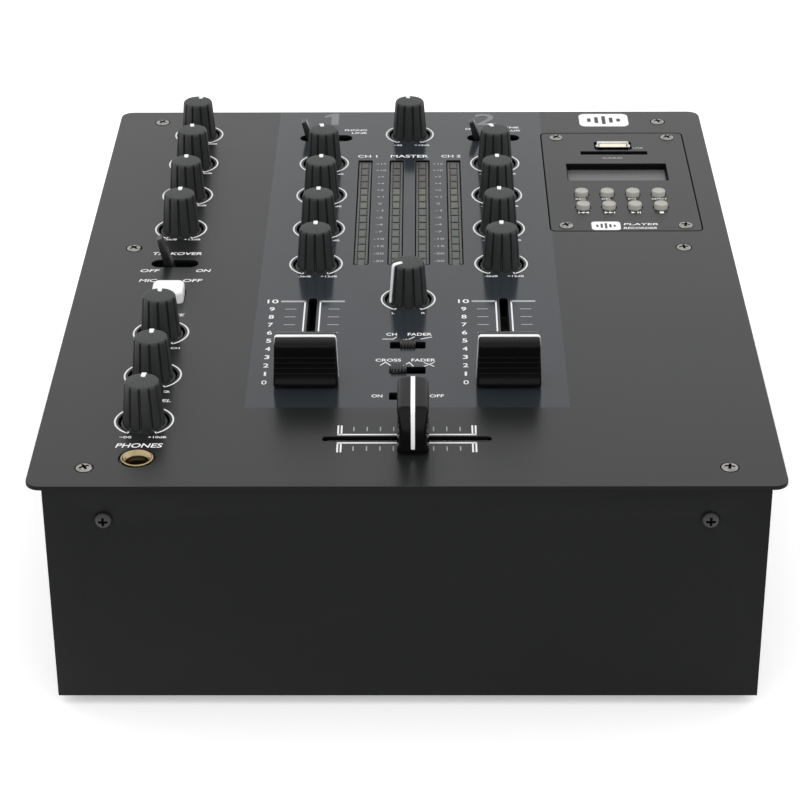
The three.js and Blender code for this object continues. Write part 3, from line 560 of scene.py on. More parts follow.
def top_plate():
    width, depth = (PLATE_HIGH - PLATE_LOW).xy
    outline = rounded(0, FRONT + depth / 2, width, depth, PLATE_CORNER)
    # The plate's walls and lower edges take the painted-shade edge look.
    sheet = Shape().sheet(outline, plate_holes(), PLATE_THICKNESS, TOP, bevel=0.25, edge=1)
    sheet.made("plate", [PLATE_PAINT, PLATE_EDGE_SHADE], "plate_paint", "top_plate")


def dressed(node, look, bevel=0.3, segments=2):
    """A CAD node kept as it is, with its edges softened and a procedural material."""
    piece = frame["nodes"][node]
    piece.data.materials.clear()
    piece.data.materials.append(look)
    weld = piece.modifiers.new("weld", "WELD")
    weld.merge_threshold = 1e-6
    flatten = piece.modifiers.new("flatten", "DECIMATE")
    flatten.decimate_type = "DISSOLVE"
    flatten.angle_limit = FLAT_ANGLE
    soften = piece.modifiers.new("bevel", "BEVEL")
    soften.width = bevel * MM
    soften.segments = segments
    soften.limit_method = "ANGLE"
    soften.angle_limit = SHARP_ANGLE
    soften.harden_normals = True
    for polygon in piece.data.polygons:
        polygon.use_smooth = True
    return piece


def cross_cutter(depth, reach, top):
    """The bit that cuts a Phillips recess: a tapering cross."""
    rings = []
    for z, long, wide in ((top - depth, reach * 0.5, 0.2), (top + 0.5, reach * 1.1, 0.55)):
        quarter = [Vector((long, -wide)), Vector((long, wide)), Vector((wide, wide))]
        turned = [Matrix.Rotation(i * pi / 2, 2) @ corner for i in range(4) for corner in quarter]
        rings.append([(x, y, z) for x, y in turned])
    return Shape().rings(rings)


def screw_mesh(name, profile, sides, look, cutter):
    """A turned screw with a cross recess, whose inside is painted near-black as painted shade."""
    mesh = carved(Shape().turned(profile, sides).mesh("head", look), cutter.mesh("cutter", DARK_PLASTIC_AND_SHADE))
    mesh.name = name
    return mesh


def pan_head_mesh(r):
    """A domed head, standing on height 0."""
    profile = [(r, 0), (r, 0.35), (r * 0.93, 0.95), (r * 0.75, 1.45), (r * 0.45, 1.75), (0.05, 1.85)]
    return screw_mesh("pan head screw", profile, 32, SCREW_BLACK, cross_cutter(1.2, r * 0.6, 1.7))


def countersunk_mesh(r):
    """A raised countersunk head with a short shank, with its rim at height 0."""
    shank = [(1.4, -3.4), (1.5, -3.2), (1.5, -r + 1.4), (r - 0.1, -0.16), (r, 0)]
    dome = [(r * 0.96, 0.16), (r * 0.8, 0.36), (r * 0.5, 0.52), (r * 0.2, 0.58), (0.03, 0.6)]
    cutter = cross_cutter(1.5, r * 0.68, 0.5)
    return screw_mesh("countersunk screw", shank + dome, 40, SCREW_STEEL, cutter)


def screws():
    mesh = countersunk_mesh(2.85)
    for i, name in enumerate(PLATE_SCREWS):
        on_node(mesh, name, "head", "screw_steel", "root", turn=0.5 + 0.9 * i)
    for i, (dx, dy) in enumerate(PLAYER_SCREWS):
        place = (PLAYER_MIDDLE.x + dx, PLAYER_MIDDLE.y + dy, TOP + 0.12)
        copy_of(mesh, f"player_screw_{i + 1}", "root", "screw_steel", at=place, turn=0.3 + 1.1 * i)
    pan_head = pan_head_mesh(3)
    pan_head.transform(Matrix.Rotation(pi / 2, 4, "X"))
    for side, where in ((-1, "left"), (1, "right")):
        place = (side * CASE_SCREW_X, CASE_LOW.y, CASE_SCREW_Z)
        copy_of(pan_head, f"case_screw_{where}", "root", "screw_black", at=place)


# ---------- controls ----------
FLUTES = 11
FLUTE_ANGLES = (
    # angle from the middle of a flute, share of its depth
    (0, 1), (1.5, 0.93), (2.7, 0.66), (3.6, 0.2), (4.5, 0), (9, 0), (16, 0), (23, 0), (28.2, 0),
    (29.1, 0.2), (30, 0.66), (31.2, 0.93),
)
KNOB_LEVELS = (
    # radius, height above the plate, depth of the flutes
    (2.8, -5, 0), (3, -4.8, 0), (3, -1.8, 0), (8.0, -1.8, 0), (8.1, -1.7, 0), (8.1, -0.85, 0),
    (8.0, -0.72, 0), (7.6, -0.7, 0), (7.42, -0.6, 0), (7.36, -0.2, 0.55), (7.3, 0.7, 0.85), (6.2, 14.2, 0.8),
    (6.12, 14.8, 0.62), (6.0, 15.2, 0.36), (5.8, 15.48, 0.12), (5.5, 15.62, 0), (5.0, 15.7, 0),
    (4.0, 15.75, 0), (2.0, 15.79, 0), (0.05, 15.8, 0),
)
KNOB_TOP_START = 15.5
POINTER_PATH = (
    # distance from the axis, height above the plate, share of the width
    (7.34, 0.15, 0.45), (7.32, 0.45, 0.85), (7.27, 1.0, 1), (6.2, 14.2, 1), (6.12, 14.8, 1), (6.0, 15.2, 1),
    (5.8, 15.48, 1), (5.5, 15.62, 1), (5.0, 15.7, 1), (4.0, 15.75, 1), (3.2, 15.77, 1), (2.8, 15.78, 0.92),
    (2.55, 15.78, 0.68), (2.45, 15.78, 0.3),
)


def knob_mesh():
    """A rubber knob with a skirt and an odd number of flutes; a plain land faces along X."""
    rings = []
    for radius, z, depth in KNOB_LEVELS:
        ring = []
        for flute in range(FLUTES):
            for angle, share in FLUTE_ANGLES:
                t = 2 * pi * (flute + 0.5) / FLUTES + radians(angle)
                r = radius - depth * share
                ring.append((r * cos(t), r * sin(t), z))
        rings.append(ring)
    knob = Shape().rings(rings)
    knob.faces = [(face, int(min(knob.points[i].z for i in face) > KNOB_TOP_START)) for face, _ in knob.faces]
    return knob.mesh("knob", [KNOB_RUBBER, KNOB_TOP])


def rest_angle(name):
    """Where a knob's pointer stands at rest, counterclockwise from straight away from the user."""
    low, high = JOINTS[name]["range_deg"]
    return radians(-(low + high) / 2)


def knobs():
    knob = knob_mesh()
    pointer = Shape().ridge(POINTER_PATH, 1.6, 0.75).mesh("pointer", WHITE_INK)
    for name in KNOBS:
        turn = pi / 2 + rest_angle(name)
        on_node(knob, name, "grip", "knob_rubber", turn=turn)
        over_node(pointer, name, "pointer", turn)


# How far each lever reaches above the plate, and its lean in degrees.
LEVERS = {"talkover_lever": (12, 15), "source_lever_1": (9.7, 18), "source_lever_2": (9.7, 18)}
LEVER_THICKNESS = 4.6
LEVER_BOSS = 3.4
LEVER_EDGE = 0.3


def lever(name):
    """A tapered bar with a flat end on a boss; it leans to the left at rest."""
    reach, lean = LEVERS[name]
    place = pivot(name)
    rise = TOP - place.z
    tip = rise + reach
    levels = [(2.6, 0, 0), (2.6, rise / 3, 0), (2.5, rise - 2.5, 0), (1.9, rise, 0), (1.6, rise + 2.5, 0),
              (1.08, tip - 0.4, 0), (1.0, tip - 0.15, 0.1), (0.8, tip, 0.3), (0.65, tip, 0.45)]
    rings = []
    for half, z, trim in levels:
        outline = rounded(0, 0, 2 * half, LEVER_THICKNESS - 2 * trim, min(0.6, half * 0.7))
        rings.append([(x, y, z) for x, y in outline(0)])
    half, neck = LEVER_THICKNESS / 2, LEVER_BOSS - LEVER_EDGE
    boss = [(neck, -half), (LEVER_BOSS, LEVER_EDGE - half), (LEVER_BOSS, half - LEVER_EDGE), (neck, half)]
    bat = Shape().turned(boss, 32).moved(Matrix.Rotation(pi / 2, 4, "X")).rings(rings)
    bat.moved(Matrix.Rotation(-radians(lean), 4, "Y"))
    bat.made(f"{name}_bat", LEVER_BLACK, "lever_plastic", name, body=name, at=place)


CAP_LEVELS = [
    # length, width, height above the plate, corner radius
    (21.9, 10.0, 1.0, 0.9), (22.7, 10.7, 1.0, 1.0), (23.0, 11.0, 1.25, 1.1), (23.0, 11.0, 2.1, 1.1),
    (22.95, 10.6, 2.7, 1.1), (22.85, 9.9, 3.9, 1.1), (22.75, 9.4, 5.4, 1.1), (22.6, 9.15, 7.4, 1.1),
    (22.45, 9.2, 9.2, 1.1), (22.25, 9.6, 11.5, 1.1), (22.05, 10.2, 14.0, 1.1), (21.85, 10.6, 16.0, 1.1),
    (21.75, 10.7, 17.0, 1.1), (21.6, 10.4, 17.5, 1.1), (21.4, 9.6, 17.95, 1.0), (21.2, 7.8, 18.3, 0.9),
    (21.1, 5.0, 18.5, 0.7), (21.0, 2.4, 18.57, 0.5), (20.9, 0.5, 18.6, 0.2),
]
CAP_LINE_SIDE = [
    # distance from the middle, height above the plate, share of the width
    (11.28, 2.4, 0.85), (11.25, 3.2, 0.9), (10.98, 11.5, 0.92), (10.77, 16.2, 0.95), (10.72, 17.3, 1),
    (10.66, 17.8, 1), (10.5, 18.25, 1), (10.2, 18.5, 1), (9.8, 18.55, 1),
]
CAP_LINE = CAP_LINE_SIDE + [(-x, z, share) for x, z, share in CAP_LINE_SIDE[::-1]]
CAP_RIBS = ((6.0, 4.64), (8.2, 4.57), (10.4, 4.7), (12.5, 4.93))
CAP_RIB_END = ((-10.8, 0.06), (-10.6, 0.36), (-10.25, 0.36), (-10.0, 0.22))


def cap_mesh():
    """A tall glossy cap with a flared foot, four fine ribs on each long side and a steel stem."""
    rings = []
    for length, width, z, r in CAP_LEVELS:
        rings.append([(x, y, z) for x, y in rounded(0, 0, length, width, r)(0)])
    cap = Shape().rings(rings)
    rib = [*CAP_RIB_END, *((-x, r) for x, r in CAP_RIB_END[::-1])]
    for z, y in CAP_RIBS:
        for side in (-1, 1):
            cap.rings([[(x, side * y + r * cos(t), z + r * sin(t)) for t in turns(8)] for x, r in rib])
    cap.block(2, 5, 12, (0, 0, -9.5), bevel=0.2, look=1)
    return cap.mesh("fader cap", [CAP_GLOSS, STEEL])


def fader_caps():
    cap = cap_mesh()
    line = Shape().ridge(CAP_LINE, 1.5, 0.45).mesh("cap line", WHITE_INK)
    for name, turn in (("fader_cap_1", 0), ("fader_cap_2", 0), ("crossfader_cap", pi / 2)):
        on_node(cap, name, "body", "cap_plastic", turn=turn)
        over_node(line, name, "line", turn)


def slide_switches():
    slider = Shape().block(5.8, 4.3, 5.9, (0, 0, -5), bevel=0.35, corner=0.6)
    for i in range(5):
        x = (i - 2) * 1.16
        rings = [[(x + 0.4 * cos(t) * share, y, 0.9 + 0.9 * share * sin(t)) for t in turns(16)]
                 for y, share in ((-2.15, 0.3), (-2.0, 0.85), (-1.7, 1), (1.7, 1), (2.0, 0.85), (2.15, 0.3))]
        slider.rings(rings)
    mesh = slider.mesh("slider", SWITCH_BLACK)
    for name in SWITCHES:
        on_node(mesh, name, "slider", "switch_plastic")


def mic_button():
    node = "mic_button"
    x, y, _ = node_middle(node)
    low, _ = node_box(node)
    levels = [(0, -3.5), (0, 3.0), (-0.09, 3.46), (-0.35, 3.85), (-0.74, 4.1), (-1.2, 4.2), (-1.5, 4.2)]
    head = Shape().stack(rounded(0, 0, 12, 12, 2.6), levels)
    head.block(15, 15, 1.2, (0, 0, low.z - TOP), bevel=0.2)
    head.made("mic_button_key", WHITE_PLASTIC, "white_plastic", node, body=node, at=(x, y, TOP))


# ---------- meters ----------
LAMPS = 15
RED_LAMPS = 4
AMBER_LAMPS = 3
LAMP_PITCH = 6.7
LAMP_TOP_Y = 264.9
BAR_WIDTH = 5.2
BAR_LENGTH = 98.6
BAR_RECESS = 0.7


def meters():
    """Frosted bars with fifteen unlit lamps each, and the carrier below them."""
    face = TOP - BAR_RECESS
    for name, x in zip(("channel_1", "master_left", "master_right", "channel_2"), METER_XS):
        bar = Shape().block(BAR_WIDTH, BAR_LENGTH, 10, (x, METER_Y + 0.8, face - 10), bevel=0.2)
        for i in range(LAMPS):
            y = grid_y(LAMP_TOP_Y - i * LAMP_PITCH)
            colour = 3 if i < RED_LAMPS else 2 if i < RED_LAMPS + AMBER_LAMPS else 1
            bar.block(2.7, 4.7, 0.25, (x, y, face - 0.2), bevel=0.05, look=colour)
            # Painted shade: thin dark strips between the lamps and along both sides of each lamp stand in for
            # the shadow at the edges of the lamp windows.
            bar.block(3.8, 0.85, 0.12, (x, y - LAMP_PITCH / 2, face - 0.1), bevel=0.02, look=4)
            for side in (-1, 1):
                bar.block(0.32, 4.6, 0.12, (x + side * 1.5, y, face - 0.1), bevel=0.02, look=4)
        looks = [METER_BAR, LAMP_GREEN, LAMP_AMBER, LAMP_RED, DARK_PLASTIC_AND_SHADE]
        bar.made(f"meter_{name}", looks, "meter_lens", "meter_block")
    low, high = node_box("meter_block")
    middle = (low + high) / 2
    carrier = Shape().block(high.x - low.x, high.y - low.y, 2, (middle.x, middle.y, low.z), bevel=0.2)
    carrier.made("meter_carrier", DARK_PLASTIC_AND_SHADE, "meter_lens", "meter_block")


# ---------- phones socket ----------
def phones_socket():
    """A brass sleeve with a rounded lip and a threaded throat, in a thin black collar; the throat is painted
    dark brown, as painted shade down in the bore.
    """
    node = "phones_jack"
    x, y, _ = node_middle(node)
    collar = [(5.66, -0.6), (5.9, -0.6), (5.9, -3), (5.66, -3)]
    lip = [(5.6, -3.2), (5.6, -0.1), (5.52, 0.15), (5.3, 0.29), (5.05, 0.3), (4.8, 0.2), (4.55, 0.0)]
    sleeve = [*lip, (3.75, -0.9), (3.6, -1.2), (3.6, -3.2)]
    thread = [(3.42, -1.7), (3.52, -1.9), (3.42, -2.1), (3.52, -2.3), (3.42, -2.5), (3.2, -2.9), (3.2, -26)]
    throat = [(3.55, -1.3), *thread, (4.2, -26), (4.4, -25.6), (4.4, -3.4), (3.55, -3.3)]
    for name, profile, look in (("collar", collar, SOCKET_BLACK), ("sleeve", sleeve, BRASS),
                                ("throat", throat, BRASS_PAINTED_SHADE)):
        ring = Shape().turned(profile, 56, looped=True)
        ring.made(f"phones_{name}", look, "jack_brass", node, at=(x, y, TOP))
    low = node_box(node)[0]
    height = CASE_HIGH.z - low.z - 3
    levels = [(-0.3, 0), (0, 0.3), (0, height - 0.3), (-0.3, height)]
    outer = [[(px, py, z) for px, py in rounded(0, 0, 14, 14, 0.8, 4)(grow)] for grow, z in levels]
    inner = [[(px, py, z) for px, py in rounded(0, 0, 9.4, 9.4, 3.5, 4)(0)] for z in (height, 1.5)]
    body = Shape().rings(outer + inner)
    body.made("phones_body", SOCKET_BLACK, "jack_brass", node, at=(x, y, low.z))


# ---------- player ----------
def player_plate():
    x = PLAYER_MIDDLE.x
    holes = [circle(*node_middle(name).xy, 3.15, 32) for name in PLAYER_BUTTONS]
    holes.append(rounded(x, grid_y(USB_Y), 15.8, 8.6, 1.2))
    holes.append(rounded(x, grid_y(CARD_Y), 28.3, 3.4, 0.4))
    holes.append(rounded(x, grid_y(DISPLAY_Y), 42, 17.2, 0.4))
    holes += [circle(x + dx, PLAYER_MIDDLE.y + dy, 2.95, 32) for dx, dy in PLAYER_SCREWS]
    outline = rounded(*PLAYER_MIDDLE.xy, *PLAYER_SIZE.xy, PLAYER_CORNER)
    # The sheet's walls and lower edges take the painted-shade edge look.
    sheet = Shape().sheet(outline, holes, PLATE_THICKNESS, TOP, bevel=0.2, edge=1)
    sheet.made("player_sheet", [PLAYER_PAINT, PLATE_EDGE_SHADE], "player_paint", "player_plate")


def player_buttons():
    """A round key with a rim above the plate and a collar and a stem below it."""
    below = [(1.4, -6), (1.5, -5.9), (1.5, -4), (3.6, -4), (3.7, -3.9), (3.7, -3.1), (3.6, -3), (2.75, -3)]
    above = [(2.75, 1.5), (2.69, 1.78), (2.5, 1.98), (2.3, 2.02), (2.15, 1.98), (2.0, 1.84), (1.2, 1.76),
             (0.05, 1.74)]
    mesh = Shape().turned(below + above, 40).mesh("player button", GREY_PLASTIC)
    for name in PLAYER_BUTTONS:
        on_node(mesh, name, "key", "grey_plastic")


def usb_socket():
    """A folded steel shell with side tabs around a cream tongue, in a black well."""
    place = (PLAYER_MIDDLE.x, grid_y(USB_Y), TOP)
    levels = [(-0.05, -9), (-0.05, 0.45), (0, 0.6), (0.12, 0.72), (-0.3, 0.72), (-0.45, 0.5), (-0.45, -8.5)]
    shell = Shape().stack(rounded(0, 0, 13.2, 6, 0.7), levels)
    for side in (-1, 1):
        shell.block(1.0, 1.6, 8.4, (side * 6.9, -0.6, -8), bevel=0.15)
        shell.block(0.5, 0.9, 0.5, (side * 5.0, 2.35, 0.3), bevel=0.12)
    shell.made("usb_shell", NICKEL, "fader_steel", "player_board", at=place)
    tongue = Shape().block(11.4, 3.6, 8.9, (0, -0.3, -8.6), bevel=0.2)
    tongue.made("usb_tongue", CREAM, "socket_plastic", "player_board", at=place)
    well = Shape().block(15.4, 8.2, 2, (*place[:2], TOP - 10), bevel=0.1)
    well.made("usb_well", DARK_PLASTIC_AND_SHADE, "socket_plastic", "player_board")


def display():
    """A black frame with a dark window set deep below the plate."""
    x, y, top = PLAYER_MIDDLE.x, grid_y(DISPLAY_Y), TOP - 2.7
    bezel = Shape().sheet(rounded(x, y, 46, 21, 0.8), [rounded(x, y, 41, 16.2, 0.3)], 5, top + 1.1, bevel=0.1)
    bezel.made("display_bezel", DARK_PLASTIC_AND_SHADE, "display_lens", "player_board")
    # The window's grey is partly painted light, lifted against the shade of the recess.
    glass = Shape().block(42, 17.2, 3, (x, y, top - 3), bevel=0.1)
    glass.made("display_glass", DISPLAY_GLASS_AND_PAINTED_LIGHT, "display_lens", "player_board")


def player_board():
    """The circuit board that carries the display, the sockets and the push switches."""
    bottom = node_box("player_board")[0].z
    x, y = PLAYER_MIDDLE.xy
    board = Shape().block(PLAYER_SIZE.x - 2, PLAYER_SIZE.y - 2, 1.6, (x, y, bottom), bevel=0.15, corner=1)
    for dx, dy in PLAYER_SCREWS:
        board.turned([(2.5, 1.4), (2.5, CASE_HIGH.z - bottom)], 24, look=1, at=(x + dx, y + dy, bottom))
    parts = [(*node_middle(name).xy, 6, 6, 4) for name in PLAYER_BUTTONS]
    parts += [(x + end * 14.5, grid_y(CARD_Y), 3, 4.6, 7.6) for end in (-1, 1)]
    parts += [(x, grid_y(CARD_Y) + side * 1.8, 32, 1.2, 7.6) for side in (1, -1)]
    parts.append((x, grid_y(DISPLAY_Y), 44, 18, 3.6))
    for part_x, part_y, width, depth, height in parts:
        board.block(width, depth, height, (part_x, part_y, bottom + 1.5), bevel=0.2, look=2)
    board.made("player_circuit", [BOARD, STEEL, DARK_PLASTIC_AND_SHADE], "circuit_board", "player_board")


# ---------- underneath and behind ----------
TO_REAR = Matrix.Rotation(-pi / 2, 4, "X")
FACING_REAR = TO_REAR @ Matrix.Rotation(pi, 4, "Z")
SOCKET_REACH = 11.5
SOCKET_MIDDLE = -14
SOCKET_XS = [SOCKET_MIDDLE + (column - 2.5) * 15 for column in range(6)]
SOCKET_ROWS = {"red": 37, "white": 55}


def feet():
    """A rubber ring around the sunk head of its screw."""
    rim = [(2.4, 1.6), (2.6, 0.4), (3.1, 0.02), (8.0, 0), (8.3, 0.05), (8.9, 0.75), (9.0, 1.1), (9.0, 3.4)]
    stem = [(8.85, 3.8), (8.5, 3.9), (2.2, 3.9), (2.2, 7.0), (2.0, 7.2), (0.05, 7.2)]
    screw = [(0.05, 1.5), (1.4, 1.45), (2.1, 1.2), (2.3, 1.5), (2.3, 1.8), (0.05, 1.8)]
    foot = Shape().turned([(0.05, 1.6), *rim, *stem], 48).turned(screw, 24, look=1)
    mesh = foot.mesh("foot", [FOOT_RUBBER, SCREW_BLACK])
    for end in ("front", "rear"):
        for side in ("left", "right"):
            on_node(mesh, f"foot_{end}_{side}", "pad", "foot_rubber", "root", z=0)


def dust_shields():
    """Black lips on both sides of each fader's stem, down in the groove of its body: partly a dust shield,
    partly painted shade, a dark sheet where the slot lies in shadow.
    """
    middle, z = FADER_ZERO + FADER_TRAVEL / 2, TOP - 3.2
    shields = [(f"fader_{number}", side * CHANNEL_X, middle, True) for side, number in ((-1, 1), (1, 2))]
    for name, x, y, upright in [*shields, ("crossfader", 0, CROSS_Y, False)]:
        lips = Shape()
        for offset in (-1.38, 1.38):
            if upright:
                lips.block(0.55, 72, 0.25, (x + offset, y, z), bevel=0.06)
            else:
                lips.block(60, 0.55, 0.25, (x, y + offset, z), bevel=0.06)
        lips.made(f"{name}_shield", DARK_PLASTIC_AND_SHADE, "switch_plastic")


def fader_body(node):
    """A steel body whose groove walls are painted black, as painted shade down in the groove."""
    piece = dressed(node, STEEL)
    piece.data.materials.append(DARK_PLASTIC_AND_SHADE)
    low, high = node_box(node)
    middle, room = (low + high) / 2, (high - low) / 2 - Vector((1, 1, 1))
    for polygon in piece.data.polygons:
        away = polygon.center / MM - middle
        within = abs(away.x) < room.x and abs(away.y) < room.y and away.z > -room.z
        # Painted shade: the upright faces inside the groove take the black material.
        polygon.material_index = int(within and abs(polygon.normal.z) < 0.5)


def signal_sockets():
    """Twelve phono sockets in two rows on one black block."""
    low, high = node_box("rca_block")
    width, depth, height = high - low
    depth -= SOCKET_REACH
    block = Shape().block(width, depth, height, (low.x + width / 2, low.y + depth / 2, low.z), bevel=0.4)
    block.made("signal_socket_block", SOCKET_BLACK, "socket_plastic", "rca_block")
    collar = [(1.7, -3), (4.6, -3), (4.6, -0.2), (4.5, 0), (6.1, 0), (6.2, 0.1), (6.2, 0.9), (6.05, 1.05)]
    tube = [(4.35, 1.05), (4.15, 1.3), (4.1, 7.6), (4.0, 7.9), (3.75, 8.0), (3.45, 7.9), (3.3, 7.7),
            (3.3, 3.0), (1.7, 3.0)]
    insert = [(1.6, 2.9), (3.3, 2.9), (3.3, 6.6), (3.1, 6.9), (1.9, 6.9), (1.6, 6.7)]
    barrel = Shape().turned(collar + tube, 40, looped=True).mesh("phono barrel", NICKEL)
    inserts = {colour: Shape().turned(insert, 40, looped=True).mesh("phono insert", look)
               for colour, look in (("red", SOCKET_RED), ("white", SOCKET_WHITE))}
    for mesh in (barrel, *inserts.values()):
        mesh.transform(TO_REAR)
    for column, x in enumerate(SOCKET_XS):
        for colour, z in SOCKET_ROWS.items():
            name = f"signal_socket_{column + 1}_{colour}"
            copy_of(barrel, name, "root", "jack_brass", "rca_block", at=(x, REAR, z))
            copy_of(inserts[colour], f"{name}_insert", "root", "socket_plastic", at=(x, REAR, z))


def mic_socket():
    low, high = node_box("mic_socket")
    x, z = (low.x + high.x) / 2, (low.z + high.z) / 2
    reach = high.y - REAR
    nut = [(3.2, -4), (6.2, -4), (6.6, -0.2), (6.6, 0), (7.0, 0.1), (7.0, 2.2), (6.7, 2.5)]
    tube = [(5.4, reach - 0.15), (5.2, reach), (3.6, reach), (3.2, reach - 0.4)]
    collar = Shape().turned(nut + tube, 48, looped=True).moved(TO_REAR)
    collar.made("mic_socket_nut", NICKEL, "socket_plastic", "mic_socket", at=(x, REAR, z))
    body = Shape().block(18, 26, 20, (x, low.y + 13, z - 10), bevel=0.5)
    body.made("mic_socket_body", SOCKET_BLACK, "socket_plastic", "mic_socket")


def inlet_mouth(grow):
    """The mouth of a mains inlet: a rectangle with its two upper corners cut off."""
    corners = [(12, -8), (12, 3), (6.8, 8.5), (-6.8, 8.5), (-12, 3), (-12, -8), (-11.5, -8.5), (11.5, -8.5)]
    return [(x * (12 + grow) / 12, y * (8.5 + grow) / 8.5 - 10) for x, y in corners]


def mains_inlet():
    """The inlet's flange, the well behind it with three pins, and the well of the rocker above."""
    low, high = node_box("power_inlet")
    place = ((low.x + high.x) / 2, REAR, (low.z + high.z) / 2)
    holes = [inlet_mouth, rounded(0, 15, 18, 15.4, 0.8)]
    node, slot = "power_inlet", "socket_plastic"
    flange = Shape().sheet(rounded(0, 0, 30, 56, 2.5), holes, 2.4, 2.55, bevel=0.35)
    flange.moved(FACING_REAR).made("inlet_flange", SOCKET_BLACK, slot, node, at=place)
    shell = Shape().sheet(rounded(0, 0, 26.4, 52.4, 1.5), holes, 16, 0.1, bevel=0.1)
    shell.block(26.4, 52.4, 6, (0, 0, -22), bevel=0.4, corner=1.5)
    shell.block(22, 5, 0.6, (0, -10, -15.9), bevel=0.1)
    shell.moved(FACING_REAR).made("inlet_shell", SOCKET_BLACK, slot, node, at=place)
    pins = Shape()
    for x, y in ((-7, -12.5), (7, -12.5), (0, -7.5)):
        pins.block(2, 4, 14.5, (x, y, -16.4), bevel=0.5)
    pins.moved(FACING_REAR).made("inlet_pins", NICKEL, "fader_steel", node, at=place)


def power_rocker():
    """A rocker with a hollow face that carries a bar and a ring, the usual signs for on and off."""
    side = [(3.6, 6.3), (3.45, 6.7), (3.0, 7), (0, 7)]
    hollow = [(3.2, -4), (2.75, -1.5), (2.6, 0), (2.75, 1.5), (3.2, 4)]
    profile = [*((z, -y) for z, y in side[::-1]), *hollow, *side, (-2.8, 3.5), (-2.8, -3.5)]
    key = Shape().rings([[(x, y * shrink, z * shrink) for z, y in profile]
                         for x, shrink in ((-8.3, 0.94), (-8.05, 1), (8.05, 1), (8.3, 0.94))])
    marks = Shape().ribbon([(0, 3.4), (0, 5.4)], 0.5, height=(2.9, 3.6))
    ring = [(1.1 * cos(t), -4.4 + 1.1 * sin(t)) for t in turns(24)]
    marks.ribbon(ring + ring[:2], 0.45, height=(2.9, 3.5))
    rocker, tilt = "power_rocker", Matrix.Rotation(ROCKER_TILT, 4, "X") @ FACING_REAR
    for shape, part, look, slot in ((key, "key", SWITCH_BLACK, "switch_plastic"),
                                    (marks, "marks", WHITE_INK, "print_white")):
        shape.moved(tilt).made(f"{rocker}_{part}", look, slot, rocker, body=rocker, at=pivot(rocker))


def rear_print():
    """Plain generic words beside the sockets; across is mirrored, as it is read from behind."""
    ink = Shape()
    for text, x in zip(("MASTER", "REC", "LINE 2", "PHONO 2", "LINE 1", "PHONO 1"), SOCKET_XS[::-1]):
        words(ink, text, -x, 66.5, 1.7, min(11.0, 1.9 * len(text)))
    for text, z in zip(("R", "L"), SOCKET_ROWS.values()):
        words(ink, text, 46.5 - SOCKET_MIDDLE, z, 2.2)
    words(ink, "MIC", 88, 58.5, 2.2)
    ink.moved(FACING_REAR).made("rear_print", WHITE_INK, "print_white", at=(0, REAR, 0))


# ---------- print ----------
RING_RADIUS = 10.1
RING_SPAN = 150
RING_STROKE = 0.62
ENDLESS = "endless"
KNOB_LABELS = {
    # y from the knob's axis, then each label with where it starts and ends, as x from the axis
    "mic_level": (-9.9, (ENDLESS, -6.0, -0.9), ("+10dB", 1.9, 8.5)),
    "mic": (-9.9, ("-26dB", -6.0, -0.9), ("+12dB", 1.9, 8.5)),
    "channel": (-11.0, ("-26dB", -6.7, -1.6), ("+12dB", 2.1, 8.5)),
    "master": (-11.8, (ENDLESS, -6.7, -3.4), ("+10dB", 2.1, 8.5)),
    "phones_level": (-11.6, (ENDLESS, -7.4, -3.4), ("+10dB", 2.4, 8.7)),
    "cue_mix": (-12.2, ("CUE", -8.0, -4.0), ("CH", 4.6, 7.9)),
    "cue_balance": (-12.2, ("1", -6.0, -4.4), ("2", 4.8, 7.2)),
    "balance": (-11.7, ("L", -6.1, -5.0), ("R", 5.0, 6.4)),
}


def print_words(ink, rows, x=0.0, slant=0.0, look=0):
    """Rows of words: text, x, distance from the front edge, height and width."""
    for text, across, distance, height, width in rows:
        words(ink, text, x + across, grid_y(distance), height, width, slant, look)


def knob_kind(name):
    stem = name.split("_knob")[0]
    if stem in KNOB_LABELS:
        return stem
    return "mic" if stem.startswith("mic") else "channel"


def knob_ring(ink, x, y):
    """The scale around a knob: an open ring whose ends turn in towards the knob."""
    path = []
    for step in range(61):
        t = radians(90 - RING_SPAN + 2 * RING_SPAN * step / 60)
        path.append((x + RING_RADIUS * cos(t), y + RING_RADIUS * sin(t)))
    ink.ribbon(path, RING_STROKE)
    for end in (-1, 1):
        t = radians(90 + end * RING_SPAN)
        ends = [(x + r * cos(t), y + r * sin(t)) for r in (RING_RADIUS + 0.3, 9.05)]
        ink.ribbon(ends, RING_STROKE)


def knob_labels(ink, name, x, y):
    drop, *labels = KNOB_LABELS[knob_kind(name)]
    for text, start, end in labels:
        if text == ENDLESS:
            endless_sign(ink, x + start, x + end, y + drop)
        else:
            words(ink, text, x + (start + end) / 2, y + drop, 1.4, end - start)


def endless_sign(ink, start, end, y):
    """Minus infinity: a dash and a lying eight."""
    ink.ribbon([(start, y), (start + 1.1, y)], 0.3)
    middle, reach = (start + 1.5 + end) / 2, (end - start - 1.5) / 2
    loop = [(middle + reach * cos(t), y + 0.62 * sin(2 * t)) for t in turns(28)]
    ink.ribbon(loop + loop[:2], 0.3)


FIGURE_WIDTHS = {1: 0.8, 10: 4.1}


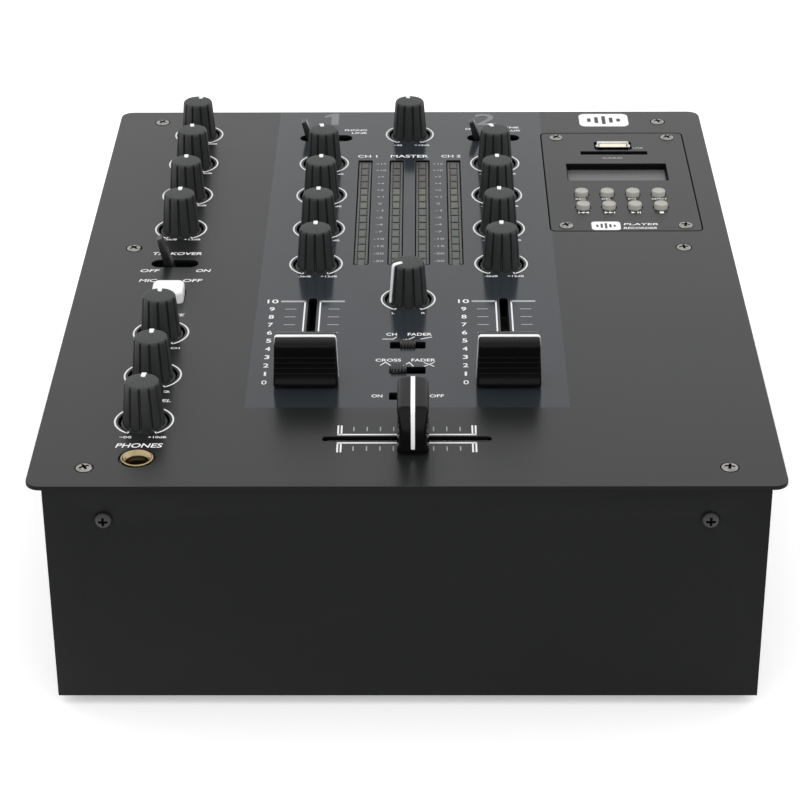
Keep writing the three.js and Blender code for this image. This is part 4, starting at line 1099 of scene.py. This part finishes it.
def fader_scale(ink, side):
    """White lines beside the slot and a scale from 0 to 10 with numbers on its left."""
    x = side * CHANNEL_X
    start, end = FADER_ZERO, FADER_ZERO + FADER_TRAVEL
    for lip in (-1, 1):
        ink.ribbon([(x + lip * 2.9, start - 3), (x + lip * 2.9, end + 0.5)], 0.55)
    for number in range(11):
        y = start + number * FADER_TRAVEL / 10
        words(ink, str(number), x - 15.1, y, 3.0, FIGURE_WIDTHS.get(number, 1.9))
        for lip in (-1, 1):
            if number == 10:
                ink.ribbon([(x + lip * 2.7, y), (x + lip * 12, y)], 1.3, look=2)
            else:
                ink.ribbon([(x + lip * 6, y), (x + lip * 10.2, y)], 0.45, look=2)


def crossfader_scale(ink):
    """Two rails with nine ticks each, closed off by double posts at both ends."""
    for lip in (-1, 1):
        y = CROSS_Y + lip * 2.85
        ink.ribbon([(-23.9, y), (23.9, y)], 0.85)
        for side in (-1, 1):
            for x in (23.65, 22.5):
                ink.ribbon([(side * x, y), (side * x, CROSS_Y + lip * 9.2)], 0.6)
        for i in range(9):
            x = (i - 4) * 4.57
            ink.ribbon([(x, CROSS_Y + lip * 5.2), (x, CROSS_Y + lip * 8.2)], 0.4, look=2)


def meter_print(ink):
    names = (("CH 1", -17.8, 273, 2.6, 8.2), ("MASTER", 0, 273, 2.8, 16), ("CH 2", 17.6, 273, 2.6, 8.2))
    print_words(ink, names)
    numbers = ("+15", "+10", "+7", "+4", "+2", "+1", "0", "-1", "-2", "-4", "-7", "-10", "-15", "-20", "-30")
    for i, number in enumerate(numbers):
        y, width = LAMP_TOP_Y - i * LAMP_PITCH, 1.4 * len(number)
        print_words(ink, [(number, side * 11.9, y, 1.6, width) for side in (-1, 1)], look=2)


def curve_signs(ink):
    """The signs beside the slide switches: fading curves, and words on both sides of the third."""
    print_words(ink, (
        ("CH", -6, 109.2, 2.1, 3.9), ("FADER", 4.4, 109.2, 2.1, 8.9),
        ("CROSS", -7, 89, 2.1, 9.2), ("FADER", 5.7, 89, 2.1, 8.7),
        ("ON", -10.7, 62.2, 2.1, 3.8), ("OFF", 10.4, 62.2, 2.1, 5),
    ))
    lines = [
        [(-9.4, 105.4), (-5.4, 105.4), (-4.1, 107.2)], [(-1.7, 105), (0.6, 105.4), (2.5, 107.2)],
        [(4.7, 105.4), (8.9, 107)], [(-9.9, 85), (-8, 87.4), (-6.2, 85)],
        [(-2, 84.2), (0.6, 87.2), (2.1, 84.2)], [(5.9, 87.2), (9.6, 84.2)], [(5.9, 84.2), (9.6, 87.2)],
    ]
    for line in lines:
        ink.ribbon([(x, grid_y(y)) for x, y in line], 0.4)


def source_print(ink):
    one = [(-34.4, 307.3), (-31.2, 307.3), (-31.2, 320.1), (-33.6, 320.1), (-37.3, 317.6), (-37.3, 315.2),
           (-34.4, 316.9)]
    ink.rings([[(x, grid_y(y), z) for x, y in one] for z in (INK_BOTTOM, INK_TOP)], look=1)
    print_words(ink, [("2", 33, 313.15, 12.5, 9.2)], look=1)
    print_words(ink, (
        ("PHONO", -23.4, 301.3, 1.8, 9.6), ("LINE", -21.9, 298.2, 1.8, 6.5), ("CD", 25.6, 302.5, 1.8, 3),
        ("LINE", 44.1, 304, 1.8, 6.5), ("AUX", 45, 300.6, 1.8, 6),
    ))


def left_column_print(ink):
    print_words(ink, (
        ("CUE LEVEL", 0, 58.9, 2.0, 16.4), ("BALANCE", 0, 125.1, 2.0, 14.6), ("PHONES", 0, 27.4, 2.9, 15.7),
        ("TALKOVER", 0.5, 178, 2.4, 19.6), ("OFF", -9, 162.8, 2.4, 7.2), ("ON", 11.7, 162.8, 2.4, 5.5),
        ("MIC", -8.9, 154.2, 2.4, 6.5), ("OFF", 8.2, 154.2, 2.4, 7.3),
    ), x=MIC_X, slant=0.2)


def plaque(ink, x, y, width, height):
    """A plain badge: a rounded plate of ink with five level bars left open in it."""
    outline = rounded(x, y, width, height, height * 0.2)
    bars = []
    for i, share in enumerate((0.35, 0.6, 0.8, 0.5, 0.3)):
        middle, rise = x + (i - 2) * width * 0.15, height * share * 0.8
        bars.append(rounded(middle, y, width * 0.075, rise, width * 0.02, 2))
    ink.sheet(outline, bars, 0.05, INK_TOP, bevel=0.005)


def plate_print():
    ink = Shape()
    for name in KNOBS:
        x, y = node_middle(name).xy
        knob_ring(ink, x, y)
        knob_labels(ink, name, x, y)
    for side in (-1, 1):
        fader_scale(ink, side)
    crossfader_scale(ink)
    meter_print(ink)
    curve_signs(ink)
    source_print(ink)
    left_column_print(ink)
    plaque(ink, 84.8, grid_y(312.1), 21.4, 14)
    ink.made("plate_print", [WHITE_INK, GREY_INK, PALE_INK], "print_white", at=ON_TOP)


def transport_signs(ink):
    """Previous, next, play with pause, and stop: bars of some width, and triangles that point some way."""
    signs = (
        ([(-1.9, 0.4)], [(-0.6, -1), (1.2, -1)]),
        ([(1.9, 0.4)], [(-1.2, 1), (0.6, 1)]),
        ([(0.9, 0.45), (1.8, 0.45)], [(-0.9, 1)]),
        ([(0, 1.7)], []),
    )
    y, reach = grid_y(215.8), 0.85
    for name, (bars, triangles) in zip(PLAYER_BUTTONS[4:], signs):
        middle = node_middle(name).x
        for offset, width in bars:
            ink.ribbon([(middle + offset, y - reach), (middle + offset, y + reach)], width)
        for offset, way in triangles:
            x, dx = middle + offset, way * reach
            corners = [(x - dx, y + reach), (x - dx, y - reach), (x + dx, y)]
            ink.rings([[(*corner, z) for corner in corners] for z in (INK_BOTTOM, INK_TOP)])


def player_print():
    ink = Shape()
    spans = (("REC", 68.2, 72.5), ("DEL", 78.9, 82.7), ("EQ", 89.7, 93), ("REPEAT", 99.4, 105.6))
    for text, start, end in spans:
        words(ink, text, (start + end) / 2, grid_y(229), 1.3, end - start)
    transport_signs(ink)
    print_words(ink, (("USB", 97.6, 281.4, 1.4, 4.3), ("CARD", 86, 270.8, 1.4, 8.4)), look=1)
    plaque(ink, 79, grid_y(203.1), 11.6, 7.9)
    print_words(ink, (("PLAYER", 93.3, 204.6, 1.8, 14), ("RECORDER", 92.7, 201, 1.8, 13.4)), slant=0.2)
    ink.made("player_print", [WHITE_INK, PALE_INK], "print_white", at=ON_TOP)


# ---------- assembly ----------
top_plate()
screws()
knobs()
for bat in LEVERS:
    lever(bat)
fader_caps()
slide_switches()
mic_button()
meters()
phones_socket()
player_plate()
player_buttons()
usb_socket()
display()
player_board()
feet()
dust_shields()
signal_sockets()
mic_socket()
mains_inlet()
power_rocker()
plate_print()
player_print()
rear_print()
dressed("case_tray", CASE_PAINT, 0.5, 3)
dressed("control_board", BOARD)
dressed("power_supply", CORE)
for body in ("fader_body_1", "fader_body_2", "crossfader_body"):
    fader_body(body)


# ---------- floor, light and camera ----------
def floor():
    look = Look("floor", (0.92, 0.92, 0.92), 0.9, specular=0.0)
    look.shader.inputs["Emission Color"].default_value = (1, 1, 1, 1)
    look.shader.inputs["Emission Strength"].default_value = 0.35
    look.vary(400, 0.01, 0.02)
    ground = Shape().block(6000, 6000, 5, (0, 0, -5), bevel=0.5)
    piece = linked("floor", ground.mesh("floor", look.material))


def surroundings():
    """A bright white studio on all sides."""
    world = bpy.data.worlds.new("studio")
    bpy.context.scene.world = world
    world.use_nodes = True
    background = world.node_tree.nodes["Background"]
    background.inputs["Color"].default_value = (1, 1, 1, 1)
    background.inputs["Strength"].default_value = 1.1
    bpy.context.scene.view_settings.view_transform = "Standard"


CAMERA_PLACE = (5.22, -884.74, 522.55)
CAMERA_PITCH = 0.505861
CAMERA_YAW = 0.009944
CAMERA_ROLL = 0.0058467
CAMERA_LENS = 114.415


def camera():
    """The photographer's place: in front of the mixer and above it, looking down at its middle."""
    data = bpy.data.cameras.new("camera")
    data.sensor_width = 36
    data.lens = CAMERA_LENS
    data.clip_end = 20
    eye = linked("camera", data)
    rise, run = sin(CAMERA_PITCH), cos(CAMERA_PITCH)
    pitch = Matrix(((1, 0, 0), (0, -rise, -run), (0, run, -rise)))
    yaw = Matrix.Rotation(-CAMERA_YAW, 3, "Z")
    roll = Matrix.Rotation(-CAMERA_ROLL, 3, "Z")
    right, down, forward = roll @ pitch @ yaw
    axes = Matrix((right, -down, -forward)).transposed()
    eye.matrix_world = Matrix.Translation(Vector(CAMERA_PLACE) * MM) @ axes.to_4x4()
    bpy.context.scene.camera = eye


floor()
surroundings()
camera()
